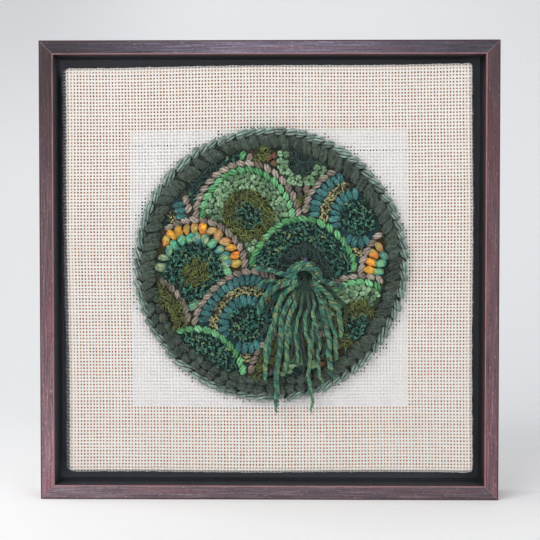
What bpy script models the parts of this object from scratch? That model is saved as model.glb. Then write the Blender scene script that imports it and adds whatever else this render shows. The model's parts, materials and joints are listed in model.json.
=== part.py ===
"""Framed fiber art panel.

An open-weave cloth is stretched over a board and hemmed on its back. Yarn is hooked through it
in a disc of overlapping scale-shaped areas, inside a border of thick loops and a rim of chain
stitches. A tassel springs from the middle of one scale. The panel stands in a floater frame of
four mitred L-section rails.

Metres, +Z up. The front faces -Y. The origin is the middle of the bottom rail's underside.
"""
import math
import random

import bmesh
import bpy
from mathutils import Vector
from mathutils.geometry import delaunay_2d_cdt

GAP = 0.0003                # clearance between pieces that touch

# Floater frame
FRAME_SIDE = 0.287          # outer width and height
FRAME_DEPTH = 0.036
FACE = 0.009                # width of a rail's front face
LEDGE_REACH = 0.0195        # how far the rebate's ledge reaches in from the wall
LEDGE_THICK = 0.008
INNER_ARRIS = 0.0010        # worn corner towards the panel
OUTER_ARRIS = 0.0005

# Cloth stretched over the board
PANEL_SIDE = 0.254
CLOTH_THICK = 0.0012
CLOTH_FRONT = -0.013        # y of the cloth's front
CLOTH_BACK = 0.0097         # y of the hem's back
FRONT_ROLL = 0.0035         # radius where the cloth rolls over the board's front edge
BACK_ROLL = 0.0020
HEM = 0.025                 # width turned over the board's back
CORNER_RADIUS = 0.003
PATCH_SIDE = 0.174          # lining patch between cloth and board
PATCH_THICK = 0.0010
# How far each corner of the cloth has crept from a true square: sign x, sign z, drift x, drift z
CORNER_DRIFT = (
    (-1, 1, -0.0005, -0.0014),
    (1, 1, -0.0005, 0.0011),
    (1, -1, 0.0005, 0.0003),
    (-1, -1, 0.0017, 0.0001),
)
EDGE_WAVE = 0.0003          # the edges' slow in-and-out
WAVE_LENGTH = 0.17

# Hooked disc, measured in its own plane: u to the right, v up, w out from the cloth's front
DISC_U = 0.0022             # disc's centre from the frame's middle
DISC_V = 0.0025
RIM_RADIUS = 0.0855
RIM_WIDTH = 0.0043
RIM_HEIGHT = 0.0042
RIM_LINKS = 84
BORDER_WIDTH = 0.0096
BORDER_HEIGHT = 0.0088
BORDER_LOOPS = 52
FIELD_RADIUS = RIM_RADIUS - RIM_WIDTH - BORDER_WIDTH - 2 * GAP
WANDER = 0.0012             # how far hand-hooked lines stray from the drawn ones
SHELL_RADIUS = 0.034        # one scale of the pattern
SHELL_EDGE_HEIGHT = 0.0054  # pile height along a scale's outline
GROOVE_DEPTH = 0.0021       # between two loops of one row
LOOP_UNEVENNESS = 0.0004
ARC_STEP = math.radians(9)
LOOP_MARGIN = 0.0016        # no crown or groove lies nearer to a scale's outline

# Bands of each kind of scale from its outline inwards: yarn, width, height, loop spacing
BANDS = {
    "green": (
        ("taupe_chain", 0.0042, 0.0078, 0.0060),
        ("green_chain", 0.0042, 0.0082, 0.0058),
        ("sage_nubs", 0.0098, 0.0086, 0.0052),
        ("moss", 0.0074, 0.0080, 0.0062),
        ("curls", 0.0084, 0.0084, 0.0060),
    ),
    "teal": (
        ("taupe_chain", 0.0042, 0.0078, 0.0060),
        ("teal_ribs", 0.0068, 0.0080, 0.0066),
        ("speckle", 0.0052, 0.0072, 0.0052),
        ("teal_ribs", 0.0068, 0.0080, 0.0066),
        ("curls", 0.0110, 0.0084, 0.0060),
    ),
    "gold": (
        ("taupe_chain", 0.0042, 0.0078, 0.0060),
        ("gold_slubs", 0.0060, 0.0086, 0.0064),
        ("mint_slubs", 0.0056, 0.0084, 0.0064),
        ("curls", 0.0102, 0.0084, 0.0060),
        ("moss", 0.0080, 0.0080, 0.0062),
    ),
    "dark": (
        ("green_chain", 0.0042, 0.0082, 0.0058),
        ("curls", 0.0122, 0.0084, 0.0060),
        ("mohair", 0.0096, 0.0074, 0.0070),
        ("pebbles", 0.0080, 0.0082, 0.0052),
    ),
    "moss": (
        ("taupe_chain", 0.0042, 0.0078, 0.0060),
        ("moss", 0.0080, 0.0080, 0.0062),
        ("pebbles", 0.0066, 0.0082, 0.0052),
        ("sage_nubs", 0.0066, 0.0086, 0.0052),
        ("mohair", 0.0086, 0.0074, 0.0070),
    ),
}

# Scales of the pattern: node, column, row, kind of scale. Rows are one radius apart, scales in
# a row two, and every other row is set over by one. A lower row lies over the one above it.
SHELLS = (
    ("shell_crown_left", -1, 2, "dark"),
    ("shell_crown_right", 0, 2, "moss"),
    ("shell_upper_far_left", -2, 1, "teal"),
    ("shell_upper_left", -1, 1, "green"),
    ("shell_upper_right", 0, 1, "teal"),
    ("shell_middle_left", -1, 0, "gold"),
    ("shell_middle", 0, 0, "dark"),
    ("shell_middle_right", 1, 0, "gold"),
    ("shell_lower_far_left", -2, -1, "moss"),
    ("shell_lower_left", -1, -1, "teal"),
    ("shell_lower_right", 0, -1, "green"),
    ("shell_foot_left", -1, -2, "dark"),
    ("shell_foot_right", 0, -2, "moss"),
)

# Tassel
ROOT_U = 0.020              # tassel's root from the disc's centre, and the pattern's anchor
ROOT_V = -0.004
HEAD_RADIUS = 0.0055
HEAD_BASE = 0.0089          # height of the head's underside above the cloth
HEAD_COLUMNS = 20
# Rings of the head, from the pile outwards: height above its underside, share of its radius, turn
HEAD_RINGS = (
    (0.0000, 0.84, 0.0),
    (0.0004, 1.00, 0.0),
    (0.0026, 1.00, 0.0),
    (0.0032, 0.96, 0.5),
    (0.0054, 0.90, 0.5),
    (0.0064, 0.62, 0.5),
)
HEAD_TOP = 0.0068
LOWER_TIER = 1              # the strands of a tier leave between this ring and the next
UPPER_TIER = 3
STRAND_WIDTH = 0.0022
STRAND_STEPS = 12
STRAND_SPRING = 0.014       # reach of a strand's first stretch, before its weight turns it
STRAND_FALL = 0.40          # share of its drop over which a strand's end hangs straight
LOW_LEVEL = 0.0104          # height of a strand's middle where it lies on the pile
HIGH_LEVEL = 0.0134         # and where it leaves the upper tier
CLOTH_LEVEL = 0.0021        # and where it lies on the cloth past the rim
FALL_BEFORE = 0.0050        # a strand starts down this far inside the rim
FALL_AFTER = 0.0100         # and reaches the cloth this far outside it
# Ends of the strands from the left round the foot of the head to the right: u, v from the root.
# They leave by turns from the upper and the lower tier.
STRANDS = (
    (-0.0310, 0.0020),
    (-0.0285, -0.0120),
    (-0.0270, -0.0270),
    (-0.0255, -0.0420),
    (-0.0240, -0.0680),
    (-0.0205, -0.0560),
    (-0.0170, -0.0870),
    (-0.0138, -0.0490),
    (-0.0105, -0.0630),
    (-0.0068, -0.0450),
    (-0.0030, -0.0580),
    (0.0010, -0.0660),
    (0.0050, -0.0870),
    (0.0085, -0.0520),
    (0.0122, -0.0740),
    (0.0156, -0.0500),
    (0.0190, -0.0660),
    (0.0222, -0.0540),
    (0.0252, -0.0400),
    (0.0272, -0.0270),
    (0.0250, -0.0100),
)

# Colours of the materials: red, green, blue, roughness
STAINED_WOOD = (0.060, 0.026, 0.034, 0.55)
BOARD_WOOD = (0.420, 0.200, 0.085, 0.75)
OFF_WHITE_CLOTH = (0.830, 0.825, 0.800, 0.90)
LINING = (0.690, 0.660, 0.650, 0.90)
YARN = {
    "green": (0.150, 0.300, 0.170, 0.90),
    "teal": (0.050, 0.170, 0.190, 0.90),
    "gold": (0.420, 0.270, 0.090, 0.85),
    "dark": (0.026, 0.062, 0.055, 0.95),
    "moss": (0.120, 0.125, 0.040, 0.95),
}
ROVING = (0.036, 0.056, 0.044, 0.95)
RIM_YARN = (0.100, 0.160, 0.135, 0.90)
TASSEL_YARN = (0.080, 0.230, 0.170, 0.85)

MIDDLE_Z = FRAME_SIDE / 2
HALF_PANEL = PANEL_SIDE / 2


def remove_everything():
    for obj in list(bpy.data.objects):
        bpy.data.objects.remove(obj, do_unlink=True)


def make_material(name, finish):
    red, green, blue, roughness = finish
    material = bpy.data.materials.new(name)
    material.use_nodes = True
    shader = material.node_tree.nodes["Principled BSDF"]
    shader.inputs["Base Color"].default_value = (red, green, blue, 1.0)
    shader.inputs["Roughness"].default_value = roughness
    shader.inputs["Metallic"].default_value = 0.0
    return material


def add_object(name, mesh, finish):
    mesh.materials.clear()
    mesh.materials.append(make_material(name, finish))
    obj = bpy.data.objects.new(name, mesh)
    bpy.context.scene.collection.objects.link(obj)
    return obj


def finish_mesh(name, bm, smooth_angle):
    """Turn a closed bmesh into a mesh with its faces outwards and soft edges shaded smooth."""
    bmesh.ops.recalc_face_normals(bm, faces=bm.faces)
    mesh = bpy.data.meshes.new(name)
    bm.to_mesh(mesh)
    bm.free()
    mesh.shade_smooth()
    mesh.set_sharp_from_angle(angle=smooth_angle)
    return mesh


def loft(rings, cap_ends=True):
    """A bmesh skin over rings of equally many points, closed at both ends or joined round."""
    bm = bmesh.new()
    loops = [[bm.verts.new(point) for point in ring] for ring in rings]
    pairs = list(zip(loops, loops[1:]))
    if not cap_ends:
        pairs.append((loops[-1], loops[0]))
    for first, second in pairs:
        for index, vertex in enumerate(first):
            following = (index + 1) % len(first)
            bm.faces.new((vertex, first[following], second[following], second[index]))
    if cap_ends:
        bm.faces.new(loops[0])
        bm.faces.new(loops[-1])
    return bm


# Frame

def rail_profile():
    """Points of a rail's section: distance in from the frame's outer edge, y."""
    front = -FRAME_DEPTH / 2
    back = FRAME_DEPTH / 2
    ledge_front = back - LEDGE_THICK
    return (
        (OUTER_ARRIS, front),
        (FACE - INNER_ARRIS, front),
        (FACE, front + INNER_ARRIS),
        (FACE, ledge_front),
        (FACE + LEDGE_REACH, ledge_front),
        (FACE + LEDGE_REACH, back),
        (0.0, back),
        (0.0, front + OUTER_ARRIS),
    )


def build_frame():
    """Four equal rails; each is the bottom one turned about the panel's middle."""
    mitre_gap = GAP / math.sqrt(2)
    ends = []
    for side in (-1, 1):
        ring = []
        for inward, y in rail_profile():
            half_length = MIDDLE_Z - inward - mitre_gap
            ring.append((side * half_length, y, inward - MIDDLE_Z))
        ends.append(ring)
    mesh = finish_mesh("frame_rail", loft(ends), math.radians(20))
    for turn, place in enumerate(("bottom", "left", "top", "right")):
        rail = add_object(f"frame_rail_{place}", mesh.copy(), STAINED_WOOD)
        rail.location.z = MIDDLE_Z
        rail.rotation_euler.y = turn * math.pi / 2


# Cloth, board and lining

def out_of_square(x, z):
    """Where a point of the true square panel lies on the crept and slightly wavy one."""
    across = x / HALF_PANEL
    up = z / HALF_PANEL
    phase = 2 * math.pi / WAVE_LENGTH
    new_x = x + EDGE_WAVE * across * math.sin(z * phase + 0.6)
    new_z = z + EDGE_WAVE * up * math.sin(x * phase + 2.1)
    for side, level, drift_x, drift_z in CORNER_DRIFT:
        share = (1 + side * across) * (1 + level * up) / 4
        new_x += share * drift_x
        new_z += share * drift_z
    return new_x, new_z


def square_ring(half, radius, y, corner_steps=4, side_steps=4):
    """Points round a square with rounded corners, crept like the panel."""
    points = []
    for quarter in range(4):
        turn = quarter * math.pi / 2
        outline = []
        for step in range(corner_steps + 1):
            angle = math.pi / 2 * step / corner_steps
            outline.append((
                half - radius + radius * math.cos(angle),
                half - radius + radius * math.sin(angle),
            ))
        for step in range(1, side_steps):
            share = step / side_steps
            outline.append(((half - radius) * (1 - 2 * share), half))
        for across, up in outline:
            x = across * math.cos(turn) - up * math.sin(turn)
            z = across * math.sin(turn) + up * math.cos(turn)
            new_x, new_z = out_of_square(x, z)
            points.append((new_x, y, new_z + MIDDLE_Z))
    return points


def cloth_section(offset):
    """The cloth's path from its front to the hem: half side, corner radius, y.

    The offset is 0 for the outer face and the cloth's thickness for the inner one.
    """
    half = HALF_PANEL - offset
    front = CLOTH_FRONT + offset
    back = CLOTH_BACK - offset
    path = []
    for radius, turns, y_mid, way in (
        (FRONT_ROLL - offset, (0, 45, 90), CLOTH_FRONT + FRONT_ROLL, -1),
        (BACK_ROLL - offset, (90, 45, 0), CLOTH_BACK - BACK_ROLL, 1),
    ):
        for degrees in turns:
            turn = math.radians(degrees)
            path.append((half - radius * (1 - math.sin(turn)), y_mid + way * radius * math.cos(turn)))
    path.append((HALF_PANEL - HEM, back))
    section = []
    for reach, y in path:
        radius = max(CORNER_RADIUS - offset - (half - reach), 0.0008)
        section.append((reach, radius, min(max(y, front), back)))
    return section


def build_panel():
    outer = [square_ring(*station) for station in cloth_section(0.0)]
    inner = [square_ring(*station) for station in cloth_section(CLOTH_THICK)]
    cloth = loft(outer + inner[::-1])
    add_object("cloth_panel", finish_mesh("cloth_panel", cloth, math.radians(60)), OFF_WHITE_CLOTH)

    patch_front = CLOTH_FRONT + CLOTH_THICK + GAP
    patch = loft([
        square_ring(PATCH_SIDE / 2, 0.001, patch_front),
        square_ring(PATCH_SIDE / 2, 0.001, patch_front + PATCH_THICK),
    ])
    add_object("lining_patch", finish_mesh("lining_patch", patch, math.radians(40)), LINING)

    board_half = HALF_PANEL - CLOTH_THICK - GAP
    board_front = patch_front + PATCH_THICK + GAP
    board_back = CLOTH_BACK - CLOTH_THICK - GAP
    edge = 0.0022
    board = loft([
        square_ring(board_half - edge, edge, board_front),
        square_ring(board_half, edge, board_front + edge),
        square_ring(board_half, edge, board_back - edge / 2),
        square_ring(board_half - edge / 2, edge, board_back),
    ])
    add_object("stretcher_board", finish_mesh("board", board, math.radians(40)), BOARD_WOOD)


# Hooked disc

def on_disc(u, v, w):
    """World place of a point of the disc, with the wandering of hand-hooked lines."""
    fade = max(0.0, 1.0 - (math.hypot(u, v) / RIM_RADIUS) ** 4)
    new_u = u + WANDER * fade * (math.sin(v / 0.017 + 1.1) + 0.6 * math.sin((u + v) / 0.011))
    new_v = v + WANDER * fade * (math.sin(u / 0.019 + 2.0) + 0.6 * math.cos((u - v) / 0.012))
    return Vector((DISC_U + new_u, CLOTH_FRONT - w, MIDDLE_Z + DISC_V + new_v))


def shell_centre(column, row):
    across = 2 * column + row % 2
    return Vector((ROOT_U + across * SHELL_RADIUS, ROOT_V + row * SHELL_RADIUS))


def chord_radius(radius, angle):
    """Distance from the centre to the side of a polygon drawn on a circle, in a direction."""
    within = angle % ARC_STEP - ARC_STEP / 2
    return radius * math.cos(ARC_STEP / 2) / math.cos(within)


def inside_round(point, centre, radius):
    offset = point - centre
    return offset.length < chord_radius(radius, math.atan2(offset.y, offset.x))


def inside_shell(point, column, row):
    """True where a scale shows: in its circle and the field, and outside the scales over it."""
    if not inside_round(point, Vector((0.0, 0.0)), FIELD_RADIUS):
        return False
    if not inside_round(point, shell_centre(column, row), SHELL_RADIUS - GAP / 2):
        return False
    shift = row % 2
    for lower_column in (column - 1 + shift, column + shift):
        lower = shell_centre(lower_column, row - 1)
        if inside_round(point, lower, SHELL_RADIUS + GAP / 2):
            return False
    return True


def field_drawing():
    """Points and lines of the whole field: its circle and the scales' outlines."""
    points = []
    lines = []

    def draw(centre, radius, first, last):
        start = len(points)
        for step in range(first, last + 1):
            angle = step * ARC_STEP
            points.append(centre + radius * Vector((math.cos(angle), math.sin(angle))))
        lines.extend((index, index + 1) for index in range(start, len(points) - 1))

    full_turn = round(2 * math.pi / ARC_STEP)
    draw(Vector((0.0, 0.0)), FIELD_RADIUS, 0, full_turn)
    for row in range(-3, 4):
        for column in range(-2, 2):
            centre = shell_centre(column, row)
            if centre.length < FIELD_RADIUS + SHELL_RADIUS:
                draw(centre, SHELL_RADIUS - GAP / 2, 0, full_turn // 2)
                draw(centre, SHELL_RADIUS + GAP / 2, 0, full_turn // 2)
    return points, lines


def loop_points(column, row, kind, chance):
    """Crowns and grooves of one scale's loops: place, height."""
    marks = []
    centre = shell_centre(column, row)
    outer = SHELL_RADIUS
    for _, width, height, spacing in BANDS[kind]:
        rows = max(1, round(width / spacing))
        row_width = width / rows
        for _ in range(rows):
            middle = outer - row_width / 2
            count = max(1, round(2 * math.pi * middle / spacing))
            turn = chance.random() * 2 * math.pi
            for index in range(count):
                for half_step, radius, drop in (
                    (0, middle, 0.0),
                    (1, middle, GROOVE_DEPTH),
                    (0, outer, GROOVE_DEPTH),
                ):
                    angle = turn + (index + half_step / 2) * 2 * math.pi / count
                    place = centre + radius * Vector((math.cos(angle), math.sin(angle)))
                    level = height - drop - LOOP_UNEVENNESS * chance.random()
                    marks.append((place, level))
            outer -= row_width
    around = []
    for step in range(6):
        angle = step * math.pi / 3
        around.append(LOOP_MARGIN * Vector((math.cos(angle), math.sin(angle))))
    return [
        (place, level) for place, level in marks
        if all(inside_shell(place + step, column, row) for step in around)
    ]


def largest_patch(triangles):
    """The largest group of triangles joined through their edges."""
    by_edge = {}
    for triangle in triangles:
        for first, second in zip(triangle, triangle[1:] + triangle[:1]):
            by_edge.setdefault(frozenset((first, second)), []).append(triangle)
    unseen = set(triangles)
    best = []
    while unseen:
        group = [unseen.pop()]
        for triangle in group:
            for first, second in zip(triangle, triangle[1:] + triangle[:1]):
                for neighbour in by_edge[frozenset((first, second))]:
                    if neighbour in unseen:
                        unseen.remove(neighbour)
                        group.append(neighbour)
        if len(group) > len(best):
            best = group
    return best


def pile_solid(places, levels, triangles):
    """A closed solid under a lumpy top of triangles, with upright sides and a flat underside."""
    bm = bmesh.new()
    used = sorted({index for triangle in triangles for index in triangle})
    top = {index: bm.verts.new(on_disc(*places[index], levels[index])) for index in used}
    after = {}
    for triangle in triangles:
        bm.faces.new([top[index] for index in triangle])
        for first, second in zip(triangle, triangle[1:] + triangle[:1]):
            after[(first, second)] = True
    rim = {first: second for first, second in after if (second, first) not in after}
    foot = {index: bm.verts.new(on_disc(*places[index], GAP)) for index in rim}
    for first, second in rim.items():
        bm.faces.new((top[second], top[first], foot[first], foot[second]))
    start = min(rim)
    loop = [start]
    while rim[loop[-1]] != start:
        loop.append(rim[loop[-1]])
    bm.faces.new([foot[index] for index in reversed(loop)])
    return bm


def build_shells():
    chance = random.Random(11)
    points, lines = field_drawing()
    levels = [SHELL_EDGE_HEIGHT] * len(points)
    for _, column, row, kind in SHELLS:
        for place, level in loop_points(column, row, kind, chance):
            points.append(place)
            levels.append(level)
    places, _, faces, sources, _, _ = delaunay_2d_cdt(points, lines, [], 0, 1e-6)
    new_levels = [levels[source[0]] if source else SHELL_EDGE_HEIGHT for source in sources]
    for name, column, row, kind in SHELLS:
        triangles = []
        for face in faces:
            middle = sum((places[index] for index in face), Vector((0.0, 0.0))) / len(face)
            if inside_shell(middle, column, row):
                triangles.append(tuple(face))
        solid = pile_solid(places, new_levels, largest_patch(triangles))
        add_object(name, finish_mesh(name, solid, math.radians(75)), YARN[kind])


def ring_of_loops(inner, outer, height, count, steps, slant):
    """A closed ring of swelling loops: each swells and shrinks over a few sections."""
    middle = (inner + outer) / 2
    half = (outer - inner) / 2
    section = ((-1.0, 0.0), (-0.92, 0.55), (-0.45, 0.92), (0.35, 1.0), (0.90, 0.60), (1.0, 0.0))
    rings = []
    for index in range(count * steps):
        swell = 0.70 if index % steps == 0 else 1.0
        width = 0.86 if index % steps == 0 else 1.0
        ring = []
        for across, up in section:
            angle = (index + slant * across) * 2 * math.pi / (count * steps)
            radius = middle + half * across * width
            level = GAP + (height - GAP) * up * swell
            ring.append(on_disc(radius * math.cos(angle), radius * math.sin(angle), level))
        rings.append(ring)
    return loft(rings, cap_ends=False)


def build_border_and_rim():
    border_outer = RIM_RADIUS - RIM_WIDTH - GAP
    border = ring_of_loops(
        FIELD_RADIUS + GAP, border_outer, BORDER_HEIGHT, BORDER_LOOPS, steps=3, slant=0.8)
    add_object("border_loops", finish_mesh("border_loops", border, math.radians(75)), ROVING)
    rim = ring_of_loops(
        RIM_RADIUS - RIM_WIDTH, RIM_RADIUS, RIM_HEIGHT, RIM_LINKS, steps=2, slant=0.5)
    add_object("rim_chain", finish_mesh("rim_chain", rim, math.radians(75)), RIM_YARN)


# Tassel

def smooth_step(value, low, high):
    share = min(max((value - low) / (high - low), 0.0), 1.0)
    return share * share * (3 - 2 * share)


def strand_level(u, v, run, tier):
    """Height of a strand's middle: on the pile, or down over the rim to the cloth."""
    level = LOW_LEVEL
    if tier == UPPER_TIER:
        level += (HIGH_LEVEL - LOW_LEVEL) * (1 - smooth_step(run, 0.008, 0.028))
    from_middle = math.hypot(u, v)
    fall = smooth_step(from_middle, RIM_RADIUS - FALL_BEFORE, RIM_RADIUS + FALL_AFTER)
    return level + (CLOTH_LEVEL - level) * fall


def strand_path(angle, end_u, end_v, tier):
    """Middle line of a strand in the disc's plane: springs out of the head, then hangs."""
    way = Vector((math.sin(angle), -math.cos(angle)))
    start = HEAD_RADIUS * way
    end = Vector((end_u, end_v))
    reach = min(STRAND_SPRING, 0.45 * (end - start).length)
    first_pull = start + way * reach
    lift = -STRAND_FALL * min(end.y, 0.0)
    last_pull = end + Vector((0.10 * (start.x - end.x), lift))
    path = []
    for step in range(1, STRAND_STEPS + 1):
        t = step / STRAND_STEPS
        point = (
            start * (1 - t) ** 3
            + first_pull * 3 * t * (1 - t) ** 2
            + last_pull * 3 * t * t * (1 - t)
            + end * t ** 3
        )
        u = ROOT_U + point.x
        v = ROOT_V + point.y
        path.append((u, v, strand_level(u, v, (point - start).length, tier)))
    return [on_disc(*point) for point in path]


def add_strand(bm, mouth, path):
    """Draw the four corners of an opening in the head out along a path, and close the end."""
    corners = mouth
    previous = sum((vertex.co for vertex in mouth), Vector()) / 4
    outwards = Vector((0.0, -1.0, 0.0))
    for index, middle in enumerate(path):
        following = path[min(index + 1, len(path) - 1)]
        along = (following - previous).normalized()
        side = outwards.cross(along).normalized()
        half = STRAND_WIDTH / 2 * (0.80 if index == 0 else 1.0)
        ring = [
            bm.verts.new(middle + half * (across * side + up * outwards))
            for across, up in ((-1, -1), (1, -1), (1, 1), (-1, 1))
        ]
        for first in range(4):
            second = (first + 1) % 4
            bm.faces.new((corners[first], corners[second], ring[second], ring[first]))
        corners = ring
        previous = middle
    bm.faces.new(corners)


def build_tassel():
    bm = bmesh.new()
    rings = []
    for height, share, turn in HEAD_RINGS:
        ring = []
        for column in range(HEAD_COLUMNS):
            angle = (column + turn) * 2 * math.pi / HEAD_COLUMNS
            u = ROOT_U + HEAD_RADIUS * share * math.sin(angle)
            v = ROOT_V - HEAD_RADIUS * share * math.cos(angle)
            ring.append(bm.verts.new(on_disc(u, v, HEAD_BASE + height)))
        rings.append(ring)
    tip = bm.verts.new(on_disc(ROOT_U, ROOT_V, HEAD_BASE + HEAD_TOP))

    first_column = -(len(STRANDS) // 4)
    mouths = {}
    for index, (end_u, end_v) in enumerate(STRANDS):
        tier = LOWER_TIER if index % 2 else UPPER_TIER
        column = first_column + index // 2 - (0 if index % 2 else 1)
        angle = (column + HEAD_RINGS[tier][2] + 0.5) * 2 * math.pi / HEAD_COLUMNS
        mouths[(tier, column % HEAD_COLUMNS)] = strand_path(angle, end_u, end_v, tier)

    for level, (lower, upper) in enumerate(zip(rings, rings[1:])):
        for column in range(HEAD_COLUMNS):
            following = (column + 1) % HEAD_COLUMNS
            corners = (lower[column], lower[following], upper[following], upper[column])
            path = mouths.get((level, column))
            if path is None:
                bm.faces.new(corners)
            else:
                add_strand(bm, corners, path)
    bm.faces.new(rings[0])
    for column, vertex in enumerate(rings[-1]):
        bm.faces.new((vertex, rings[-1][(column + 1) % HEAD_COLUMNS], tip))
    add_object("tassel", finish_mesh("tassel", bm, math.radians(75)), TASSEL_YARN)


remove_everything()
build_frame()
build_panel()
build_shells()
build_border_and_rim()
build_tassel()
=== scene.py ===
"""Looks of the framed fiber art panel: stained frame, open-weave cloth, hooked yarns and tassel.

Metres, +Z up, the front faces -Y. Places on the hooked disc are u to the right, v up and w out
from the cloth's front, as in the part's source.
"""

import json
import math
import random

import bpy
from mathutils import Matrix, Vector, noise

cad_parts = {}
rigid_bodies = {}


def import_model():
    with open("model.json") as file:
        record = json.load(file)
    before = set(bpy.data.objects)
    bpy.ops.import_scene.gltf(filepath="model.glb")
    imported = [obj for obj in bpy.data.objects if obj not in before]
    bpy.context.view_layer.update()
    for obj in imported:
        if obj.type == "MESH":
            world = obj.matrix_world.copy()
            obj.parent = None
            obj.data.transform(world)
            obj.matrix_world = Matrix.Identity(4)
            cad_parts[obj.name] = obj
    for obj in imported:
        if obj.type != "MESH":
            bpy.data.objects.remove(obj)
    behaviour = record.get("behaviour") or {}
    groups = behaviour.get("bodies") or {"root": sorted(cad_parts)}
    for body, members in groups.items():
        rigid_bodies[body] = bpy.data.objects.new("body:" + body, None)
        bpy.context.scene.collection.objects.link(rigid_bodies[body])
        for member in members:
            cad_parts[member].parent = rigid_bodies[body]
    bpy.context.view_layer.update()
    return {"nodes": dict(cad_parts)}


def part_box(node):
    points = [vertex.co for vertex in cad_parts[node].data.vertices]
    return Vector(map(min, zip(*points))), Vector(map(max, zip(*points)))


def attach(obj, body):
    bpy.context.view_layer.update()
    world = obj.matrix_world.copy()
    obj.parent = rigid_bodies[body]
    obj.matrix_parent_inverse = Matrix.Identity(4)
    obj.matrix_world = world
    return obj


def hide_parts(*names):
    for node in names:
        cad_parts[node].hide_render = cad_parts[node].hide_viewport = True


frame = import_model()

# Floater frame
FRAME_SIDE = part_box("frame_rail_top")[1][2]
FRAME_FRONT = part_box("frame_rail_top")[0][1]
FRAME_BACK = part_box("frame_rail_top")[1][1]
MIDDLE_Z = FRAME_SIDE / 2
FACE = 0.009                # width of a rail's front face
LEDGE_REACH = 0.0195
LEDGE_THICK = 0.008
INNER_ARRIS = 0.0008
OUTER_ARRIS = 0.0006
MITRE_GAP = 0.00005

# Cloth, its lining and the board behind it
CLOTH_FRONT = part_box("cloth_panel")[0][1]
CLOTH_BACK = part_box("cloth_panel")[1][1]
BOARD_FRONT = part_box("stretcher_board")[0][1]
HALF_PANEL = 0.127
BACK_ROLL = 0.0020
HEM = 0.025
CORNER_RADIUS = 0.003
PATCH_SIDE = 0.174
PATCH_MIDDLE = (-0.0007, 0.0005)
LINING_WEAVE = 0.0006       # the pitch of the lining's own close weave
LINE_ROW = 37               # the row of holes that a line of dark yarn ends shows through
LINE_STEP = 2               # how many rows lower its right half runs
LINE_SHARE = 0.90           # share of its holes that are filled
SPECK_SHARE = 0.52          # the same round the rim, where the share falls off outwards
SPECK_FADE = 110            # by this much for each metre
SPECK_FROM = -0.001         # from and to these distances past the rim
SPECK_TO = 0.0052
LINE_ENDS = (0.00028, 0.00052)
RIM_ENDS = (0.00045, 0.00080)   # radii of the yarn ends in that line and round the rim
WARP_PITCH = 0.00202        # the threads that run up the panel
WEFT_PITCH = 0.00210
THREAD_WIDTH = 0.00106
THREAD_RISE = 0.00026       # how far a thread's middle stands over its edges
THREAD_SWING = 0.00020      # its weaving over and under
THREAD_LEVEL = BOARD_FRONT - 0.00100
THREAD_DRIFT = 0.00036
THREAD_JITTER = 0.00015
SIDE_DEPTH = 0.0060         # how far down the panel's side the threads are made
STAND_PROUD = 0.0008        # how far the threads stand out past the panel's side
EDGE_ROLL = 0.0022          # radius at which they turn over the board's edge
SIDE_FLARE = 0.0026         # how far the left side's cloth swells out towards the back
# How far the panel's corners lie out of true: side, level, to the right, up
CORNER_DRIFT = (
    (-1, 1, -0.0005, -0.0008),
    (1, 1, -0.0005, 0.0017),
    (1, -1, 0.0005, 0.0006),
    (-1, -1, 0.0017, 0.0004),
)
EDGE_WAVE = 0.0003
WAVE_LENGTH = 0.17

# Hooked disc
GAP = 0.0003
DISC_U = 0.0009
DISC_V = 0.0039
RIM_RADIUS = 0.0855
RIM_WIDTH = 0.0043
RIM_HEIGHT = 0.0042
RIM_LINKS = 84
BORDER_WIDTH = 0.0096
BORDER_HEIGHT = 0.0088
DEEP_FROM = 196              # between these turns the border is two loops deep
DEEP_TO = 292
DEEP_OUT = 0.0024           # how far in and out of its middle those two lie
BORDER_LOOPS = 78
FIELD_RADIUS = RIM_RADIUS - RIM_WIDTH - BORDER_WIDTH - 2 * GAP
WANDER = 0.0012
SHELL_RADIUS = 0.034
PILE_FOOT = -0.0014         # height at which the pile meets the threads of the cloth

# Bands of each kind of scale from its outline inwards: yarn, width, height
BANDS = {
    "green": (
        ("taupe_chain", 0.0042, 0.0078),
        ("green_chain", 0.0042, 0.0082),
        ("sage_nubs", 0.0098, 0.0086),
        ("moss", 0.0074, 0.0080),
        ("curls", 0.0084, 0.0084),
    ),
    "teal": (
        ("taupe_chain", 0.0042, 0.0078),
        ("teal_ribs", 0.0068, 0.0080),
        ("speckle", 0.0052, 0.0072),
        ("teal_ribs", 0.0068, 0.0080),
        ("curls", 0.0110, 0.0084),
    ),
    "gold": (
        ("taupe_chain", 0.0042, 0.0078),
        ("gold_slubs", 0.0060, 0.0086),
        ("mint_slubs", 0.0056, 0.0084),
        ("curls", 0.0102, 0.0084),
        ("moss", 0.0080, 0.0080),
    ),
    "dark": (
        ("green_chain", 0.0042, 0.0082),
        ("curls", 0.0122, 0.0084),
        ("mohair", 0.0096, 0.0074),
        ("pebbles", 0.0080, 0.0082),
    ),
    "moss": (
        ("taupe_chain", 0.0042, 0.0078),
        ("moss", 0.0080, 0.0080),
        ("pebbles", 0.0066, 0.0082),
        ("sage_nubs", 0.0066, 0.0086),
        ("mohair", 0.0086, 0.0074),
    ),
}
SHELLS = (
    ("shell_crown_left", -1, 2, "dark"),
    ("shell_crown_right", 0, 2, "moss"),
    ("shell_upper_far_left", -2, 1, "teal"),
    ("shell_upper_left", -1, 1, "green"),
    ("shell_upper_right", 0, 1, "teal"),
    ("shell_middle_left", -1, 0, "gold"),
    ("shell_middle", 0, 0, "dark"),
    ("shell_middle_right", 1, 0, "gold"),
    ("shell_lower_far_left", -2, -1, "moss"),
    ("shell_lower_left", -1, -1, "teal"),
    ("shell_lower_right", 0, -1, "green"),
    ("shell_foot_left", -1, -2, "dark"),
    ("shell_foot_right", 0, -2, "moss"),
)
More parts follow.
